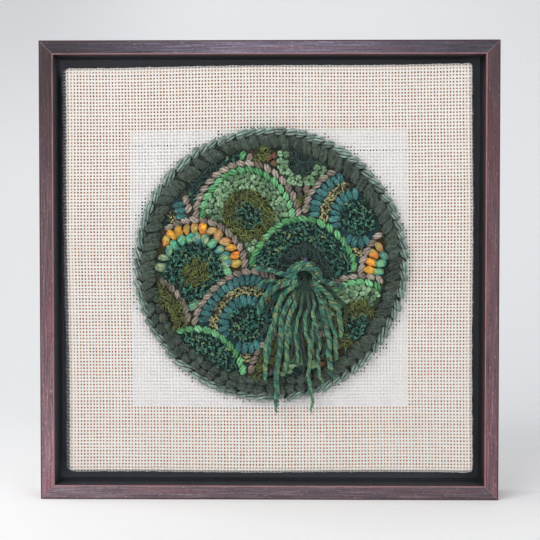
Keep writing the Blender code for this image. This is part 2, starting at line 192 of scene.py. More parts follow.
# How each yarn is hooked: width of a row, distance between stitches along it
ROWS = {
    "taupe_chain": (0.0042, 0.0057),
    "green_chain": (0.0042, 0.0057),
    "sage_nubs": (0.0033, 0.0036),
    "moss": (0.0027, 0.0027),
    "curls": (0.0018, 0.0020),
    "teal_ribs": (0.0068, 0.0038),
    "speckle": (0.0018, 0.0022),
    "gold_slubs": (0.0060, 0.0052),
    "mint_slubs": (0.0056, 0.0052),
    "mohair": (0.0030, 0.0030),
    "pebbles": (0.0040, 0.0047),
}
STRAYS = 260

# Dye of the ground under each yarn, as a screen shows it, darker than the yarn itself: partly painted shade
# between the loops
GROUND_DYES_AND_SHADE = {
    "taupe_chain": (70, 60, 52),
    "green_chain": (48, 84, 58),
    "sage_nubs": (62, 90, 62),
    "moss": (62, 66, 30),
    "curls": (24, 50, 46),
    "teal_ribs": (24, 62, 70),
    "speckle": (46, 52, 34),
    "gold_slubs": (72, 58, 30),
    "mint_slubs": (40, 74, 62),
    "mohair": (34, 54, 50),
    "pebbles": (44, 42, 38),
    "border": (38, 50, 42),
    "rim": (46, 62, 56),
    "hollow": (70, 86, 78),
}
# Under these yarns the ground lies deeper
FAT_YARNS = ("border", "gold_slubs", "mint_slubs", "pebbles")
# The dye lots of each yarn, and how it differs from plain wool
YARNS = {
    "taupe_wool": (
        ((116, 106, 96), (152, 140, 129), (178, 166, 155), (136, 128, 113)), {"ply_share": 0.3}),
    "green_wool": (((70, 138, 84), (100, 172, 114), (132, 200, 146)), {"ply_share": 0.3}),
    "sage_boucle": (((92, 126, 92), (122, 158, 120), (150, 186, 148)), {"mottle": 0.8}),
    "teal_tweed": (
        ((34, 84, 86), (50, 108, 108), (70, 132, 130)),
        {"mottle": 0.9, "ply_share": 0.3, "fleck": ((0.62, 0.68, (104, 158, 154)),)}),
    "gold_roving": (
        ((150, 128, 70), (204, 148, 58), (226, 168, 56), (214, 118, 52), (178, 168, 84), (166, 134, 96),
         (196, 132, 66)),
        {"mottle": 0.3, "drift": 0.9, "sheen": 0.1, "roughness": 0.7}),
    "mint_roving": (
        ((112, 170, 128), (70, 158, 136), (128, 160, 106), (58, 134, 140), (150, 166, 122),
         (84, 142, 116)),
        {"mottle": 0.3, "drift": 0.9, "sheen": 0.1, "roughness": 0.7}),
    "speckled_yarn": (
        ((44, 50, 32), (150, 148, 98), (206, 202, 150), (96, 100, 62), (176, 170, 118)),
        {"mottle": 1.0, "ply_share": 0.6}),
    "pebble_yarns": (
        ((62, 60, 56), (84, 76, 68), (54, 58, 50), (66, 62, 66), (84, 104, 128), (70, 62, 58),
         (128, 116, 62), (60, 56, 54), (150, 92, 52), (72, 76, 66), (150, 124, 118), (58, 60, 58)),
        {"mottle": 0.08, "drift": 0.2, "sheen": 0.1, "roughness": 0.65}),
    "curled_silk": (
        ((22, 50, 46), (50, 104, 92), (30, 64, 56), (92, 166, 142), (34, 78, 70), (60, 122, 106),
         (28, 58, 54), (112, 160, 120), (44, 96, 84), (158, 160, 108)),
        {"mottle": 0.4, "ply_share": 0.3, "roughness": 0.5, "sheen": 0.1}),
    "moss_hair": (
        ((48, 52, 28), (112, 126, 64), (88, 82, 50), (142, 168, 78), (104, 110, 60), (66, 74, 36)),
        {"mottle": 0.4}),
    "dark_mohair": (((36, 60, 57), (60, 92, 84), (46, 72, 65), (92, 126, 115)), {"mottle": 0.3}),
    "dark_roving": (
        ((42, 54, 46), (70, 86, 74), (50, 65, 56), (64, 74, 60)),
        {"mottle": 0.9, "fibres": 1.4, "ply_share": 0.3, "streaks": 0.40}),
    "roving_wisps": (((46, 62, 53), (84, 104, 90), (64, 82, 73), (114, 134, 118)), {"mottle": 0.2}),
    "rim_wool": (
        ((102, 122, 115), (144, 166, 156), (122, 144, 135)), {"mottle": 0.5, "ply_share": 0.4}),
    # The tassel's silk takes painted shade in the hollow under its arch.
    "tassel_silk": (
        ((22, 56, 47), (56, 140, 120), (28, 74, 60), (92, 158, 124), (24, 66, 60), (142, 160, 104),
         (38, 104, 88)),
        {"mottle": 0.35, "ply_share": 0.95, "drift": 0.4, "roughness": 0.6, "hollow": True,
         "fleck": ((0.65, 0.69, (192, 186, 120)), (0.34, 0.28, (40, 158, 150)))}),
    # A darker copy of the tassel silk: painted shade for the strands that lie under the others.
    "tassel_shaded_silk": (
        ((22, 42, 36), (38, 76, 62), (30, 56, 46), (66, 100, 76)),
        {"mottle": 0.4, "ply_share": 0.8, "drift": 0.4, "roughness": 0.7}),
}

# Tassel
ROOT_U = 0.020
ROOT_V = -0.004
HEAD_COLUMNS = 20
STRAND_STEPS = 18
FINE_STRANDS = 30
ROOT_ARCS = 3
HOLLOW = 0.0066             # radius round the root in which nothing is hooked
TASSEL_V = ROOT_V - 0.0040
SHADE_MIDDLE = (0.0010, -0.0085)    # middle of the painted shade in the hollow under the arch, from the root
SHADE_HALF = (0.0075, 0.0150)   # half its width and height
STRAND_SPRING = 0.014
STRAND_FALL = 0.40
RISE_FROM = 0.002           # a strand that starts sunk comes up over this stretch of its run
RISE_TO = 0.013
UNDER_DROP = 0.0006         # how much lower the under strands lie
HANGING = 0.018             # strands that end nearer than this to the root's line start sunk
HIDDEN_FROM = -0.009        # between these the upper ones spring from under the arch
HIDDEN_TO = 0.013
FRAYS = 6                   # loose fibres at each cut end
FINE_SPAN = 0.038           # the fine dark strands end in this width
FINE_INNER = 0.012          # those that end within this of the line start above the root
ARC_RADIUS = 0.0056
ARC_STEP = 0.0015           # from one arc of the arch to the next
# Start from the root, depth there and range of girths of the strands
SPRINGS = {
    "hidden": (0.0036, 0.0056, 0.66, 0.82),
    "upper": (0.0046, 0.0050, 0.92, 1.18),
    "under": (0.0030, 0.0034, 0.62, 0.84),
}
LOW_LEVEL = 0.0104
HIGH_LEVEL = 0.0134
CLOTH_LEVEL = 0.0021
FALL_BEFORE = 0.0050
FALL_AFTER = 0.0100
# Where each strand ends, from the root: to the right, up
STRANDS = (
    (-0.0310, 0.0020), (-0.0285, -0.0120), (-0.0270, -0.0270), (-0.0255, -0.0420),
    (-0.0240, -0.0680), (-0.0205, -0.0560), (-0.0170, -0.0870), (-0.0138, -0.0490),
    (-0.0105, -0.0630), (-0.0068, -0.0450), (-0.0030, -0.0580), (0.0010, -0.0660),
    (0.0050, -0.0870), (0.0085, -0.0520), (0.0122, -0.0740), (0.0156, -0.0500),
    (0.0190, -0.0660), (0.0222, -0.0540), (0.0252, -0.0400), (0.0272, -0.0270),
    (0.0250, -0.0100),
)

chance = random.Random(4)


# Node trees written as expressions

class Value:
    """A node's output. Arithmetic on it adds Math nodes to its tree."""

    def __init__(self, tree, socket):
        self.tree = tree
        self.socket = socket

    def also(self, name):
        """Another output of the same node."""
        return Value(self.tree, self.socket.node.outputs[name])

    def __add__(self, other):
        return self.tree.maths("ADD", self, other)

    def __radd__(self, other):
        return self.tree.maths("ADD", other, self)

    def __sub__(self, other):
        return self.tree.maths("SUBTRACT", self, other)

    def __rsub__(self, other):
        return self.tree.maths("SUBTRACT", other, self)

    def __mul__(self, other):
        return self.tree.maths("MULTIPLY", self, other)

    def __rmul__(self, other):
        return self.tree.maths("MULTIPLY", other, self)

    def __truediv__(self, other):
        return self.tree.maths("DIVIDE", self, other)

    def __rtruediv__(self, other):
        return self.tree.maths("DIVIDE", other, self)


class Tree:
    """A shader or geometry tree that is built from Python expressions."""

    def __init__(self, tree):
        self.tree = tree

    def node(self, kind, settings=None, values=None, out=0):
        made = self.tree.nodes.new(kind)
        for name, setting in (settings or {}).items():
            if name == "stops":
                set_stops(made.color_ramp, setting)
            else:
                setattr(made, name, setting)
        for name, value in (values or {}).items():
            for single in value if isinstance(value, list) else [value]:
                if isinstance(single, Value):
                    self.tree.links.new(single.socket, made.inputs[name])
                else:
                    made.inputs[name].default_value = single
        if out is None:
            return made
        return Value(self, made.outputs[out])

    def maths(self, operation, first, second=0.0):
        return self.node("ShaderNodeMath", {"operation": operation}, {0: first, 1: second})

    def step(self, value, low, high):
        """0 below low, 1 above high, smooth between."""
        return self.node(
            "ShaderNodeMapRange",
            {"interpolation_type": "SMOOTHSTEP"},
            {"Value": value, "From Min": low, "From Max": high},
        )

    def place(self):
        return self.node("ShaderNodeTexCoord", out="Object")

    def parts(self, vector):
        """A vector's X, Y and Z."""
        across = self.node("ShaderNodeSeparateXYZ", {}, {0: vector})
        return across, across.also("Y"), across.also("Z")

    def vector(self, across, up, out):
        return self.node("ShaderNodeCombineXYZ", {}, {"X": across, "Y": up, "Z": out})

    def mix(self, share, first, second, blend="MIX"):
        settings = {"data_type": "RGBA", "blend_type": blend}
        return self.node("ShaderNodeMix", settings, {0: share, 6: first, 7: second}, out=2)

    def ramp(self, value, stops):
        return self.node("ShaderNodeValToRGB", {"stops": stops}, {"Fac": value})

    def noise(self, place, scale, detail=2.0):
        return self.node("ShaderNodeTexNoise", {}, {"Vector": place, "Scale": scale, "Detail": detail})

    def attribute(self, name, out="Fac"):
        return self.node("ShaderNodeAttribute", {"attribute_name": name}, out=out)

    def bump(self, height, strength, distance):
        values = {"Strength": strength, "Distance": distance, "Height": height}
        return self.node("ShaderNodeBump", {}, values)


def set_stops(ramp, stops):
    """Give a colour ramp its stops: place from 0 to 1, colour as a screen shows it."""
    while len(ramp.elements) < len(stops):
        ramp.elements.new(1.0)
    for element, (place, colour) in zip(ramp.elements, stops):
        element.position = place
        element.color = srgb(*colour)


def srgb(*levels):
    """Linear colour from one as a screen shows it, 0 to 255."""
    parts = []
    for level in levels:
        share = level / 255
        linear = share / 12.92 if share <= 0.04045 else ((share + 0.055) / 1.055) ** 2.4
        parts.append(linear)
    return (*parts, 1.0)


def even_stops(colours):
    """Colour stops at even places."""
    last = max(len(colours) - 1, 1)
    return [(index / last, colour) for index, colour in enumerate(colours)]


def new_material(name, roughness, sheen=0.0):
    """A material with its tree and its shader node."""
    material = bpy.data.materials.new(name)
    material.use_nodes = True
    shader = material.node_tree.nodes["Principled BSDF"]
    shader.inputs["Roughness"].default_value = roughness
    shader.inputs["Specular IOR Level"].default_value = 0.3
    shader.inputs["Sheen Weight"].default_value = sheen
    shader.inputs["Sheen Roughness"].default_value = 0.5
    return material, Tree(material.node_tree), shader


def feed(tree, shader, **links):
    for name, value in links.items():
        tree.tree.links.new(value.socket, shader.inputs[name.replace("_", " ")])


# Materials

def stained_wood():
    """Plum stain rubbed into open grain. The UV map runs along and round each rail, in metres."""
    material, tree, shader = new_material("plum_stain", 0.5)
    shader.inputs["Coat Weight"].default_value = 0.08
    shader.inputs["Coat Roughness"].default_value = 0.35
    along, around, _ = tree.parts(tree.node("ShaderNodeUVMap", {"uv_map": "grain"}))
    inward = tree.attribute("inward")
    depth = tree.attribute("depth")
    bend = tree.noise(tree.vector(along * 9, around * 60, 0.0), 1.0)
    streaks = tree.noise(tree.vector(along * 36, around * 1100 + bend * 1.5, 0.0), 1.0, 3.0)
    broad = tree.noise(tree.vector(along * 11, around * 130, 3.0), 1.0, 2.0)
    pores = tree.noise(tree.vector(along * 330, around * 1500 + bend * 3, 7.0), 1.0, 1.0)
    plum = tree.ramp(streaks, [
        (0.30, (68, 54, 60)),
        (0.46, (87, 70, 77)),
        (0.60, (103, 83, 90)),
        (0.74, (132, 112, 118)),
    ])
    # Painted light and shade: each rail's tone, lighter and darker along it for sheen and reflection,
    # multiplies the stain.
    tone = tree.attribute("tone", out="Color")
    warm = tree.mix(tree.step(broad, 0.50, 0.68) * 0.5, plum, srgb(108, 68, 73))
    flecked = tree.mix(tree.step(pores, 0.64, 0.74) * 0.5, warm, srgb(164, 148, 152))
    dark = tree.mix(tree.step(pores, 0.38, 0.28) * 0.7, flecked, srgb(44, 28, 35))
    dyed = tree.mix(1.0, dark, tone, blend="MULTIPLY")
    to_mitre = tree.attribute("to_mitre")
    lint = tree.noise(tree.vector(along * 300, around * 700, 11.0), 1.0)
    mitre = tree.step(to_mitre, 0.00065, 0.00020) * tree.step(lint, 0.38, 0.55)
    jointed = tree.mix(mitre * 0.7, dyed, srgb(128, 114, 118))
    # A lighter band along the inner arris: wear, and also a painted highlight where the arris turns to the
    # light.
    worn_noise = tree.noise(tree.vector(along * 60, 0.0, 1.0), 1.0)
    near_inner = tree.step(inward, FACE - 0.0010, FACE - 0.0007)
    wear_and_highlight = near_inner * (0.60 + 0.40 * tree.step(worn_noise, 0.35, 0.6))
    rubbed = tree.mix(wear_and_highlight, jointed, srgb(154, 114, 116))
    edge = tree.step(inward, 0.0011, 0.0006) * tree.step(depth, 0.0030, 0.0012)
    outer = tree.mix(edge * 0.85, rubbed, srgb(62, 24, 32))
    inside = tree.step(inward, FACE - 0.00040, FACE - 0.00015)
    spray = tree.noise(tree.vector(along * 130, around * 420, 5.0), 1.0, 3.0)
    reach = tree.attribute("overspray")
    black = inside * tree.step(depth / reach + spray * 1.2, 1.3, 1.8)
    red_wall = tree.mix(inside, outer, srgb(74, 52, 56))
    paint = tree.mix(tree.step(depth, 0.016, 0.024), srgb(62, 65, 70), srgb(116, 120, 128))
    blackened = tree.mix(black, red_wall, paint)
    painted = tree.mix(black * tree.step(lint, 0.66, 0.74) * 0.4, blackened, srgb(150, 156, 164))
    height = streaks * 0.6 + pores * 0.5
    rough = 0.42 + streaks * 0.22 + black * 0.2
    feed(tree, shader, Base_Color=painted, Roughness=rough, Normal=tree.bump(height, 0.35, 0.0002))
    return material


def cloth_thread():
    """Off-white cotton thread with fine fibres along it, warmed by a painted glow over the board and greyer
    with painted shade where it runs down the sides.
    """
    material, tree, shader = new_material("off_white_thread", 0.9, 0.15)
    place = tree.place()
    across, back, up = tree.parts(place)
    from_side = tree.maths("ABSOLUTE", across - PATCH_MIDDLE[0])
    from_level = tree.maths("ABSOLUTE", up - MIDDLE_Z - PATCH_MIDDLE[1])
    past_patch = tree.maths("MAXIMUM", from_side, from_level) - PATCH_SIDE / 2
    over_board = tree.step(past_patch, -0.0008, 0.0008)
    fibre = tree.noise(place, 2600.0, 3.0)
    patchy = tree.noise(place, 45.0, 2.0)
    base = tree.mix(patchy, srgb(221, 220, 218), srgb(213, 208, 203))
    # Painted light: a warm glow where the threads lie over the orange board.
    painted_board_glow = tree.mix(over_board * 0.6, base, srgb(220, 211, 196))
    colour = tree.mix(tree.step(fibre, 0.35, 0.70) * 0.5, painted_board_glow, srgb(246, 246, 246))
    # Painted shade: where the threads run down the panel's sides they turn blue-grey.
    side = tree.step(back, THREAD_LEVEL + 0.0016, THREAD_LEVEL + 0.0034)
    side_painted_shade = tree.mix(side * (0.35 + 0.5 * tree.step(fibre, 0.6, 0.4)), colour, srgb(132, 140, 156))
    feed(tree, shader, Base_Color=side_painted_shade, Normal=tree.bump(fibre, 0.4, 0.0002))
    return material


def bare_board():
    """Orange-brown board with fine grain and specks of other browns."""
    material, tree, shader = new_material("bare_board", 0.8)
    place = tree.place()
    across, back, up = tree.parts(place)
    grain = tree.noise(tree.vector(across * 30, up * 420, 0.0), 1.0, 3.0)
    chips = tree.noise(place, 520.0, 2.0)
    hues = tree.noise(place, 390.0, 1.0)
    mixed = grain * 0.4 + chips * 0.6
    colour = tree.ramp(mixed, [
        (0.36, (146, 68, 36)),
        (0.48, (184, 98, 48)),
        (0.58, (204, 124, 64)),
        (0.68, (218, 160, 106)),
    ])
    yellow = tree.mix(tree.step(hues, 0.51, 0.60) * 0.65, colour, srgb(196, 152, 92))
    pink = tree.mix(tree.step(hues, 0.47, 0.38) * 0.6, yellow, srgb(196, 124, 108))
    plain = tree.ramp(grain, [
        (0.35, (150, 112, 80)),
        (0.50, (178, 140, 104)),
        (0.65, (200, 166, 128)),
    ])
    behind = tree.step(back, BOARD_FRONT + 0.004, BOARD_FRONT + 0.008)
    board = tree.mix(behind, pink, plain)
    feed(tree, shader, Base_Color=board, Normal=tree.bump(mixed, 0.3, 0.0003))
    return material


def lining_cloth():
    """Pale plain cloth with a close weave."""
    material, tree, shader = new_material("pale_lining", 0.9, 0.1)
    place = tree.place()
    across, _, up = tree.parts(place)
    turn = 2 * math.pi / LINING_WEAVE
    weave = tree.maths("SINE", across * turn) * tree.maths("SINE", up * turn)
    patchy = tree.noise(place, 150.0, 2.0)
    colour = tree.mix(tree.step(patchy, 0.35, 0.65), srgb(246, 242, 242), srgb(224, 218, 221))
    woven = tree.mix(tree.step(weave, 0.3, 1.0) * 0.2, colour, srgb(204, 196, 201))
    feed(tree, shader, Base_Color=woven, Normal=tree.bump(weave, 0.3, 0.0001))
    return material


def end_yarn():
    """Dark yarn ends that show in the holes of the cloth."""
    material, tree, shader = new_material("dark_yarn_ends", 0.95, 0.1)
    place = tree.place()
    tangle = tree.noise(place, 1500.0, 2.0)
    colour = tree.mix(tree.step(tangle, 0.35, 0.65), srgb(28, 31, 33), srgb(66, 70, 68))
    feed(tree, shader, Base_Color=colour, Normal=tree.bump(tangle, 0.6, 0.0003))
    return material


def painted_hollow_shade(tree, place):
    """How much painted shade a spot gets in the hollow under the tassel's arch, from 0 to 1."""
    across, _, up = tree.parts(place)
    middle = on_disc(ROOT_U + SHADE_MIDDLE[0], TASSEL_V + SHADE_MIDDLE[1], 0.0)
    across = (across - middle.x) / SHADE_HALF[0]
    up = (up - middle.z) / SHADE_HALF[1]
    return tree.step(across * across + up * up, 1.0, 0.35)


def yarn_finish(name, colours, sheen=0.25, roughness=0.85, mottle=0.5, ply_share=0.15,
                drift=0.0, fleck=None, fibres=1.0, streaks=0.55, hollow=False):
    """Spun yarn: a ramp of dye lots, mottled and drifting along the strand, with fibres along it."""
    material, tree, shader = new_material(name, roughness, sheen)
    shade = tree.attribute("shade")
    ply = tree.attribute("ply")
    along = tree.attribute("along")
    around = tree.attribute("around")
    place = tree.place()
    cloudy = tree.noise(place, 420.0, 2.0)
    lot = shade + (ply - 0.5) * ply_share + (cloudy - 0.5) * mottle
    if drift:
        slow = tree.noise(tree.vector(along * 190, shade * 61, ply * 3), 1.0, 0.0)
        lot = lot + (slow - 0.5) * drift
    dyed = tree.ramp(lot, even_stops(colours))
    fibre = tree.noise(tree.vector(along * 700, around * 9, shade * 37 + ply * 11), 1.0, 2.0)
    darker = tree.mix(1.0, dyed, (streaks, streaks, streaks, 1.0), blend="MULTIPLY")
    lighter = tree.mix(1.0, dyed, (1.9 - streaks, 1.9 - streaks, 1.87 - streaks, 1.0), blend="MULTIPLY")
    lined = tree.mix(tree.step(fibre, 0.30, 0.70), darker, lighter)
    if fleck:
        spots = tree.noise(tree.vector(along * 420, around * 3, shade * 53 + ply * 7), 1.0, 1.0)
        for low, high, colour in fleck:
            lined = tree.mix(tree.step(spots, low, high) * 0.85, lined, srgb(*colour))
    if hollow:
        # Painted shade: the yarn darkens in the hollow under the tassel's arch.
        lined = tree.mix(painted_hollow_shade(tree, place) * 0.78, lined, srgb(34, 50, 43))
    feed(tree, shader, Base_Color=lined, Normal=tree.bump(fibre, 0.55 * fibres, 0.0002))
    return material


def ground_wool():
    """Tangled wool seen between the loops, its dark partly painted shade between them; each band has its own
    dye.
    """
    material, tree, shader = new_material("ground_wool", 0.95, 0.2)
    place = tree.place()
    dye = tree.attribute("dye", out="Color")
    tangle = tree.noise(place, 900.0, 4.0)
    dark = tree.mix(1.0, dye, (0.35, 0.35, 0.35, 1.0), blend="MULTIPLY")
    colour = tree.mix(tree.step(tangle, 0.38, 0.66), dark, dye)
    feed(tree, shader, Base_Color=colour, Normal=tree.bump(tangle, 0.9, 0.0006))
    return material


# Geometry trees

def geometry_tree(name, **sockets):
    """An empty geometry tree with named inputs, and those inputs as values."""
    group = bpy.data.node_groups.new(name, "GeometryNodeTree")
    group.interface.new_socket("Geometry", in_out="INPUT", socket_type="NodeSocketGeometry")
    for label, kind in sockets.items():
        spaced = label.replace("_", " ")
        group.interface.new_socket(spaced, in_out="INPUT", socket_type="NodeSocket" + kind)
    group.interface.new_socket("Geometry", in_out="OUTPUT", socket_type="NodeSocketGeometry")
    tree = Tree(group)
    entry = tree.node("NodeGroupInput", out=None)
    given = {socket.name: Value(tree, socket) for socket in entry.outputs if socket.name}
    return group, tree, given


def end_tree(tree, geometry, material):
    """Shade smooth, realize and give the material: the end of every geometry tree here."""
    smooth = tree.node("GeometryNodeSetShadeSmooth", {}, {"Geometry": geometry})
    real = tree.node("GeometryNodeRealizeInstances", {}, {"Geometry": smooth})
    dressed = tree.node("GeometryNodeSetMaterial", {}, {"Geometry": real, "Material": material})
    tree.node("NodeGroupOutput", {}, {0: dressed}, out=None)


def keep(tree, geometry, name, value, domain="POINT"):
    """Store a number under a name for the material to read."""
    settings = {"data_type": "FLOAT", "domain": domain}
    values = {"Geometry": geometry, "Name": name, "Value": value}
    return tree.node("GeometryNodeStoreNamedAttribute", settings, values)


def named(tree, name, kind="FLOAT"):
    return tree.node("GeometryNodeInputNamedAttribute", {"data_type": kind}, {"Name": name})


def yarn_tree():
    """Sweep plied yarn along routes: edges whose points hold a girth and a shade."""
    group, tree, given = geometry_tree(
        "lay_yarn", Plies="Int", Ply_Spread="Float", Ply_Radius="Float", Sides="Int", Turns="Float",
        Step="Float", Material="Material")
    curve = tree.node("GeometryNodeMeshToCurve", {}, {"Mesh": given["Geometry"]})
    round_curve = tree.node(
        "GeometryNodeCurveSplineType", {"spline_type": "CATMULL_ROM"}, {"Curve": curve})
    even = tree.node(
        "GeometryNodeResampleCurve", {"mode": "LENGTH"}, {"Curve": round_curve, "Length": given["Step"]})
    run = tree.node("GeometryNodeSplineParameter", out="Length")
    marked = keep(tree, even, "along", run)
    turn = (run * given["Turns"] + named(tree, "shade") * 9.0) * (2 * math.pi)
    twisted = tree.node("GeometryNodeSetCurveTilt", {}, {"Curve": marked, "Tilt": turn})

    index = tree.node("GeometryNodeInputIndex")
    angle = index * (2 * math.pi) / given["Plies"]
    spot = tree.vector(
        tree.maths("COSINE", angle) * given["Ply Spread"],
        tree.maths("SINE", angle) * given["Ply Spread"],
        0.0,
    )
    spots = tree.node("GeometryNodePoints", {}, {"Count": given["Plies"], "Position": spot})
    circle = tree.node(
        "GeometryNodeCurvePrimitiveCircle",
        {},
        {"Resolution": given["Sides"], "Radius": given["Ply Radius"]},
    )
    ring = keep(tree, circle, "around", tree.node("GeometryNodeSplineParameter", out="Factor"))
    rings = tree.node("GeometryNodeInstanceOnPoints", {}, {"Points": spots, "Instance": ring})
    counted = keep(tree, rings, "ply", index / given["Plies"], domain="INSTANCE")
    profile = tree.node("GeometryNodeRealizeInstances", {}, {"Geometry": counted})

    solid = tree.node(
        "GeometryNodeCurveToMesh",
        {},
        {"Curve": twisted, "Profile Curve": profile, "Scale": named(tree, "girth"), "Fill Caps": True},
    )
    end_tree(tree, solid, given["Material"])
    return group


def fuzz_tree():
    """Raise short bent hairs all over a surface."""
    group, tree, given = geometry_tree(
        "raise_fuzz", Density="Float", Length="Float", Thickness="Float", Lean="Float", Seed="Int",
        Material="Material")
    scatter = tree.node(
        "GeometryNodeDistributePointsOnFaces",
        {},
        {"Mesh": given["Geometry"], "Density": given["Density"], "Seed": given["Seed"]},
    )
    length = given["Length"]
    hair = tree.node(
        "GeometryNodeCurveQuadraticBezier",
        {},
        {
            "Resolution": 2,
            "Start": (0.0, 0.0, 0.0),
            "Middle": tree.vector(0.0, 0.0, length * 0.5),
            "End": tree.vector(length * 0.7, length * 0.2, length * 0.55),
        },
    )
    tip = tree.node("GeometryNodeSplineParameter", out="Factor")
    circle = tree.node(
        "GeometryNodeCurvePrimitiveCircle", {}, {"Resolution": 3, "Radius": given["Thickness"]})
    solid = tree.node(
        "GeometryNodeCurveToMesh",
        {},
        {"Curve": hair, "Profile Curve": circle, "Scale": 1.0 - tip * 0.6},
    )
    lean = given["Lean"]
    tilt = tree.node(
        "FunctionNodeRandomValue",
        {"data_type": "FLOAT_VECTOR"},
        {
            0: tree.vector(0.0 - lean, 0.0 - lean, 0.0),
            1: tree.vector(lean, lean, 2 * math.pi),
            "Seed": given["Seed"],
        },
    )
    turned = tree.node(
        "FunctionNodeRotateRotation",
        {"rotation_space": "LOCAL"},
        {"Rotation": scatter.also("Rotation"), "Rotate By": tilt},
    )
    size = tree.node(
        "FunctionNodeRandomValue", {"data_type": "FLOAT"}, {2: 0.5, 3: 1.3, "Seed": given["Seed"]}, out=1)
    hairs = tree.node(
        "GeometryNodeInstanceOnPoints",
        {},
        {"Points": scatter, "Instance": solid, "Rotation": turned, "Scale": size},
    )
    lot = tree.node(
        "FunctionNodeRandomValue", {"data_type": "FLOAT"}, {2: 0.0, 3: 1.0, "Seed": given["Seed"]}, out=1)
    shaded = keep(tree, hairs, "shade", lot, domain="INSTANCE")
    end_tree(tree, shaded, given["Material"])
    return group


def weave_tree():
    """Sweep a low round-backed ribbon along each thread of the cloth."""
    group, tree, given = geometry_tree(
        "weave_cloth", Thread_Width="Float", Thread_Rise="Float", Material="Material")
    curve = tree.node("GeometryNodeMeshToCurve", {}, {"Mesh": given["Geometry"]})
    facing = tree.node(
        "GeometryNodeSetCurveNormal",
        {"mode": "FREE"},
        {"Curve": curve, "Normal": named(tree, "out", "FLOAT_VECTOR")},
    )
    line = tree.node(
        "GeometryNodeCurvePrimitiveLine", {}, {"Start": (0.0, -0.5, 0.0), "End": (0.0, 0.5, 0.0)})
    points = tree.node("GeometryNodeResampleCurve", {"mode": "COUNT"}, {"Curve": line, "Count": 4})
    share = tree.node("GeometryNodeSplineParameter", out="Factor") * 2 - 1
    rise = (1.0 - share * share) * given["Thread Rise"]
    place = tree.vector(rise, share * given["Thread Width"] * 0.5, 0.0)
    profile = tree.node("GeometryNodeSetPosition", {}, {"Geometry": points, "Position": place})
    solid = tree.node(
        "GeometryNodeCurveToMesh",
        {},
        {"Curve": facing, "Profile Curve": profile, "Scale": named(tree, "girth")},
    )
    end_tree(tree, solid, given["Material"])
    return group


LAY_YARN = yarn_tree()
RAISE_FUZZ = fuzz_tree()
WEAVE_CLOTH = weave_tree()


def grow(name, start, group, sizes):
    """Run a geometry tree over a mesh and keep the plain result as a new piece."""
    obj = bpy.data.objects.new(name, start)
    bpy.context.scene.collection.objects.link(obj)
    modifier = obj.modifiers.new("grow", "NODES")
    modifier.node_group = group
    for item in group.interface.items_tree:
        if item.in_out == "INPUT" and item.name in sizes:
            modifier[item.identifier] = sizes[item.name]
    view = bpy.context.evaluated_depsgraph_get()
    result = bpy.data.meshes.new_from_object(
        obj.evaluated_get(view), preserve_all_data_layers=True, depsgraph=view)
    obj.modifiers.clear()
    obj.data = result
    result.name = name
    return obj


def fit(obj, slot, *nodes):
    """Attach a finished piece to the root body and hide the CAD nodes it stands for."""
    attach(obj, "root")
    if nodes:
        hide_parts(*nodes)
    return obj


def add_mesh(name, points, faces, material):
    mesh = bpy.data.meshes.new(name)
    mesh.from_pydata(points, [], faces)
    mesh.materials.append(material)
    mesh.shade_smooth()
    obj = bpy.data.objects.new(name, mesh)
    bpy.context.scene.collection.objects.link(obj)
    return obj


def put_numbers(mesh, name, values, kind="FLOAT"):
    """Store a number, or the parts of a colour or vector, at each point under a name."""
    field = {"FLOAT": "value", "FLOAT_COLOR": "color", "FLOAT_VECTOR": "vector"}[kind]
    mesh.attributes.new(name, kind, "POINT").data.foreach_set(field, values)


class Hank:
    """Routes of one yarn, gathered until a tree sweeps them all at once."""

    def __init__(self):
        self.places = []
        self.edges = []
        self.girths = []
        self.shades = []
        self.normals = []

    def lay(self, points, girths, shade, normals=None):
        first = len(self.places)
        self.places.extend(points)
        self.girths.extend(girths)
        self.shades.extend([shade] * len(points))
        self.normals.extend(normals or [])
        self.edges.extend((first + step, first + step + 1) for step in range(len(points) - 1))

    def mesh(self, name):
        mesh = bpy.data.meshes.new(name)
        mesh.from_pydata(self.places, self.edges, [])
        put_numbers(mesh, "girth", self.girths)
        put_numbers(mesh, "shade", self.shades)
        if self.normals:
            parts = [part for normal in self.normals for part in normal]
            put_numbers(mesh, "out", parts, "FLOAT_VECTOR")
        return mesh

    def spin(self, name, material, slot, nodes, plies, spread, radius, sides, turns, step):
        """Make the yarn solid; sizes in metres, turns for each metre of yarn."""
        piece = grow(name, self.mesh(name), LAY_YARN, {
            "Plies": plies,
            "Ply Spread": spread,
            "Ply Radius": radius,
            "Sides": sides,
            "Turns": turns,
            "Step": step,
            "Material": material,
        })
        return fit(piece, slot, *nodes)


def smooth_step(value, low, high):
    """0 below low, 1 above high, smooth between."""
    share = min(max((value - low) / (high - low), 0.0), 1.0)
    return share * share * (3 - 2 * share)


# Frame

def arc_points(middle_in, middle_y, radius, first, last, steps):
    points = []
    for step in range(steps + 1):
        turn = math.radians(first + (last - first) * step / steps)
        points.append((middle_in + radius * math.cos(turn), middle_y + radius * math.sin(turn)))
    return points


def rail_section():
    """A rail's outline with eased arrises: distance in from the frame's outer edge, y."""
    front = FRAME_FRONT
    back = FRAME_BACK
    ledge = back - LEDGE_THICK
    ease = 0.0004
    reach = FACE + LEDGE_REACH
    return (
        arc_points(OUTER_ARRIS, front + OUTER_ARRIS, OUTER_ARRIS, 180, 270, 4)
        + [(0.0030, front), (0.0060, front)]
        + arc_points(FACE - INNER_ARRIS, front + INNER_ARRIS, INNER_ARRIS, 270, 360, 4)
        + [(FACE, front + 0.003), (FACE, front + 0.006), (FACE, ledge)]
        + arc_points(reach - ease, ledge + ease, ease, 270, 360, 2)
        + arc_points(reach - ease, back - ease, ease, 0, 90, 2)
        + arc_points(ease, back - ease, ease, 90, 180, 2)
    )


def blend_three(values, share):
    """A value that runs from the first through the middle one to the last."""
    start, middle, end = values
    if share < 0.5:
        return start + (middle - start) * smooth_step(share, 0.0, 0.5)
    return middle + (end - middle) * smooth_step(share, 0.5, 1.0)


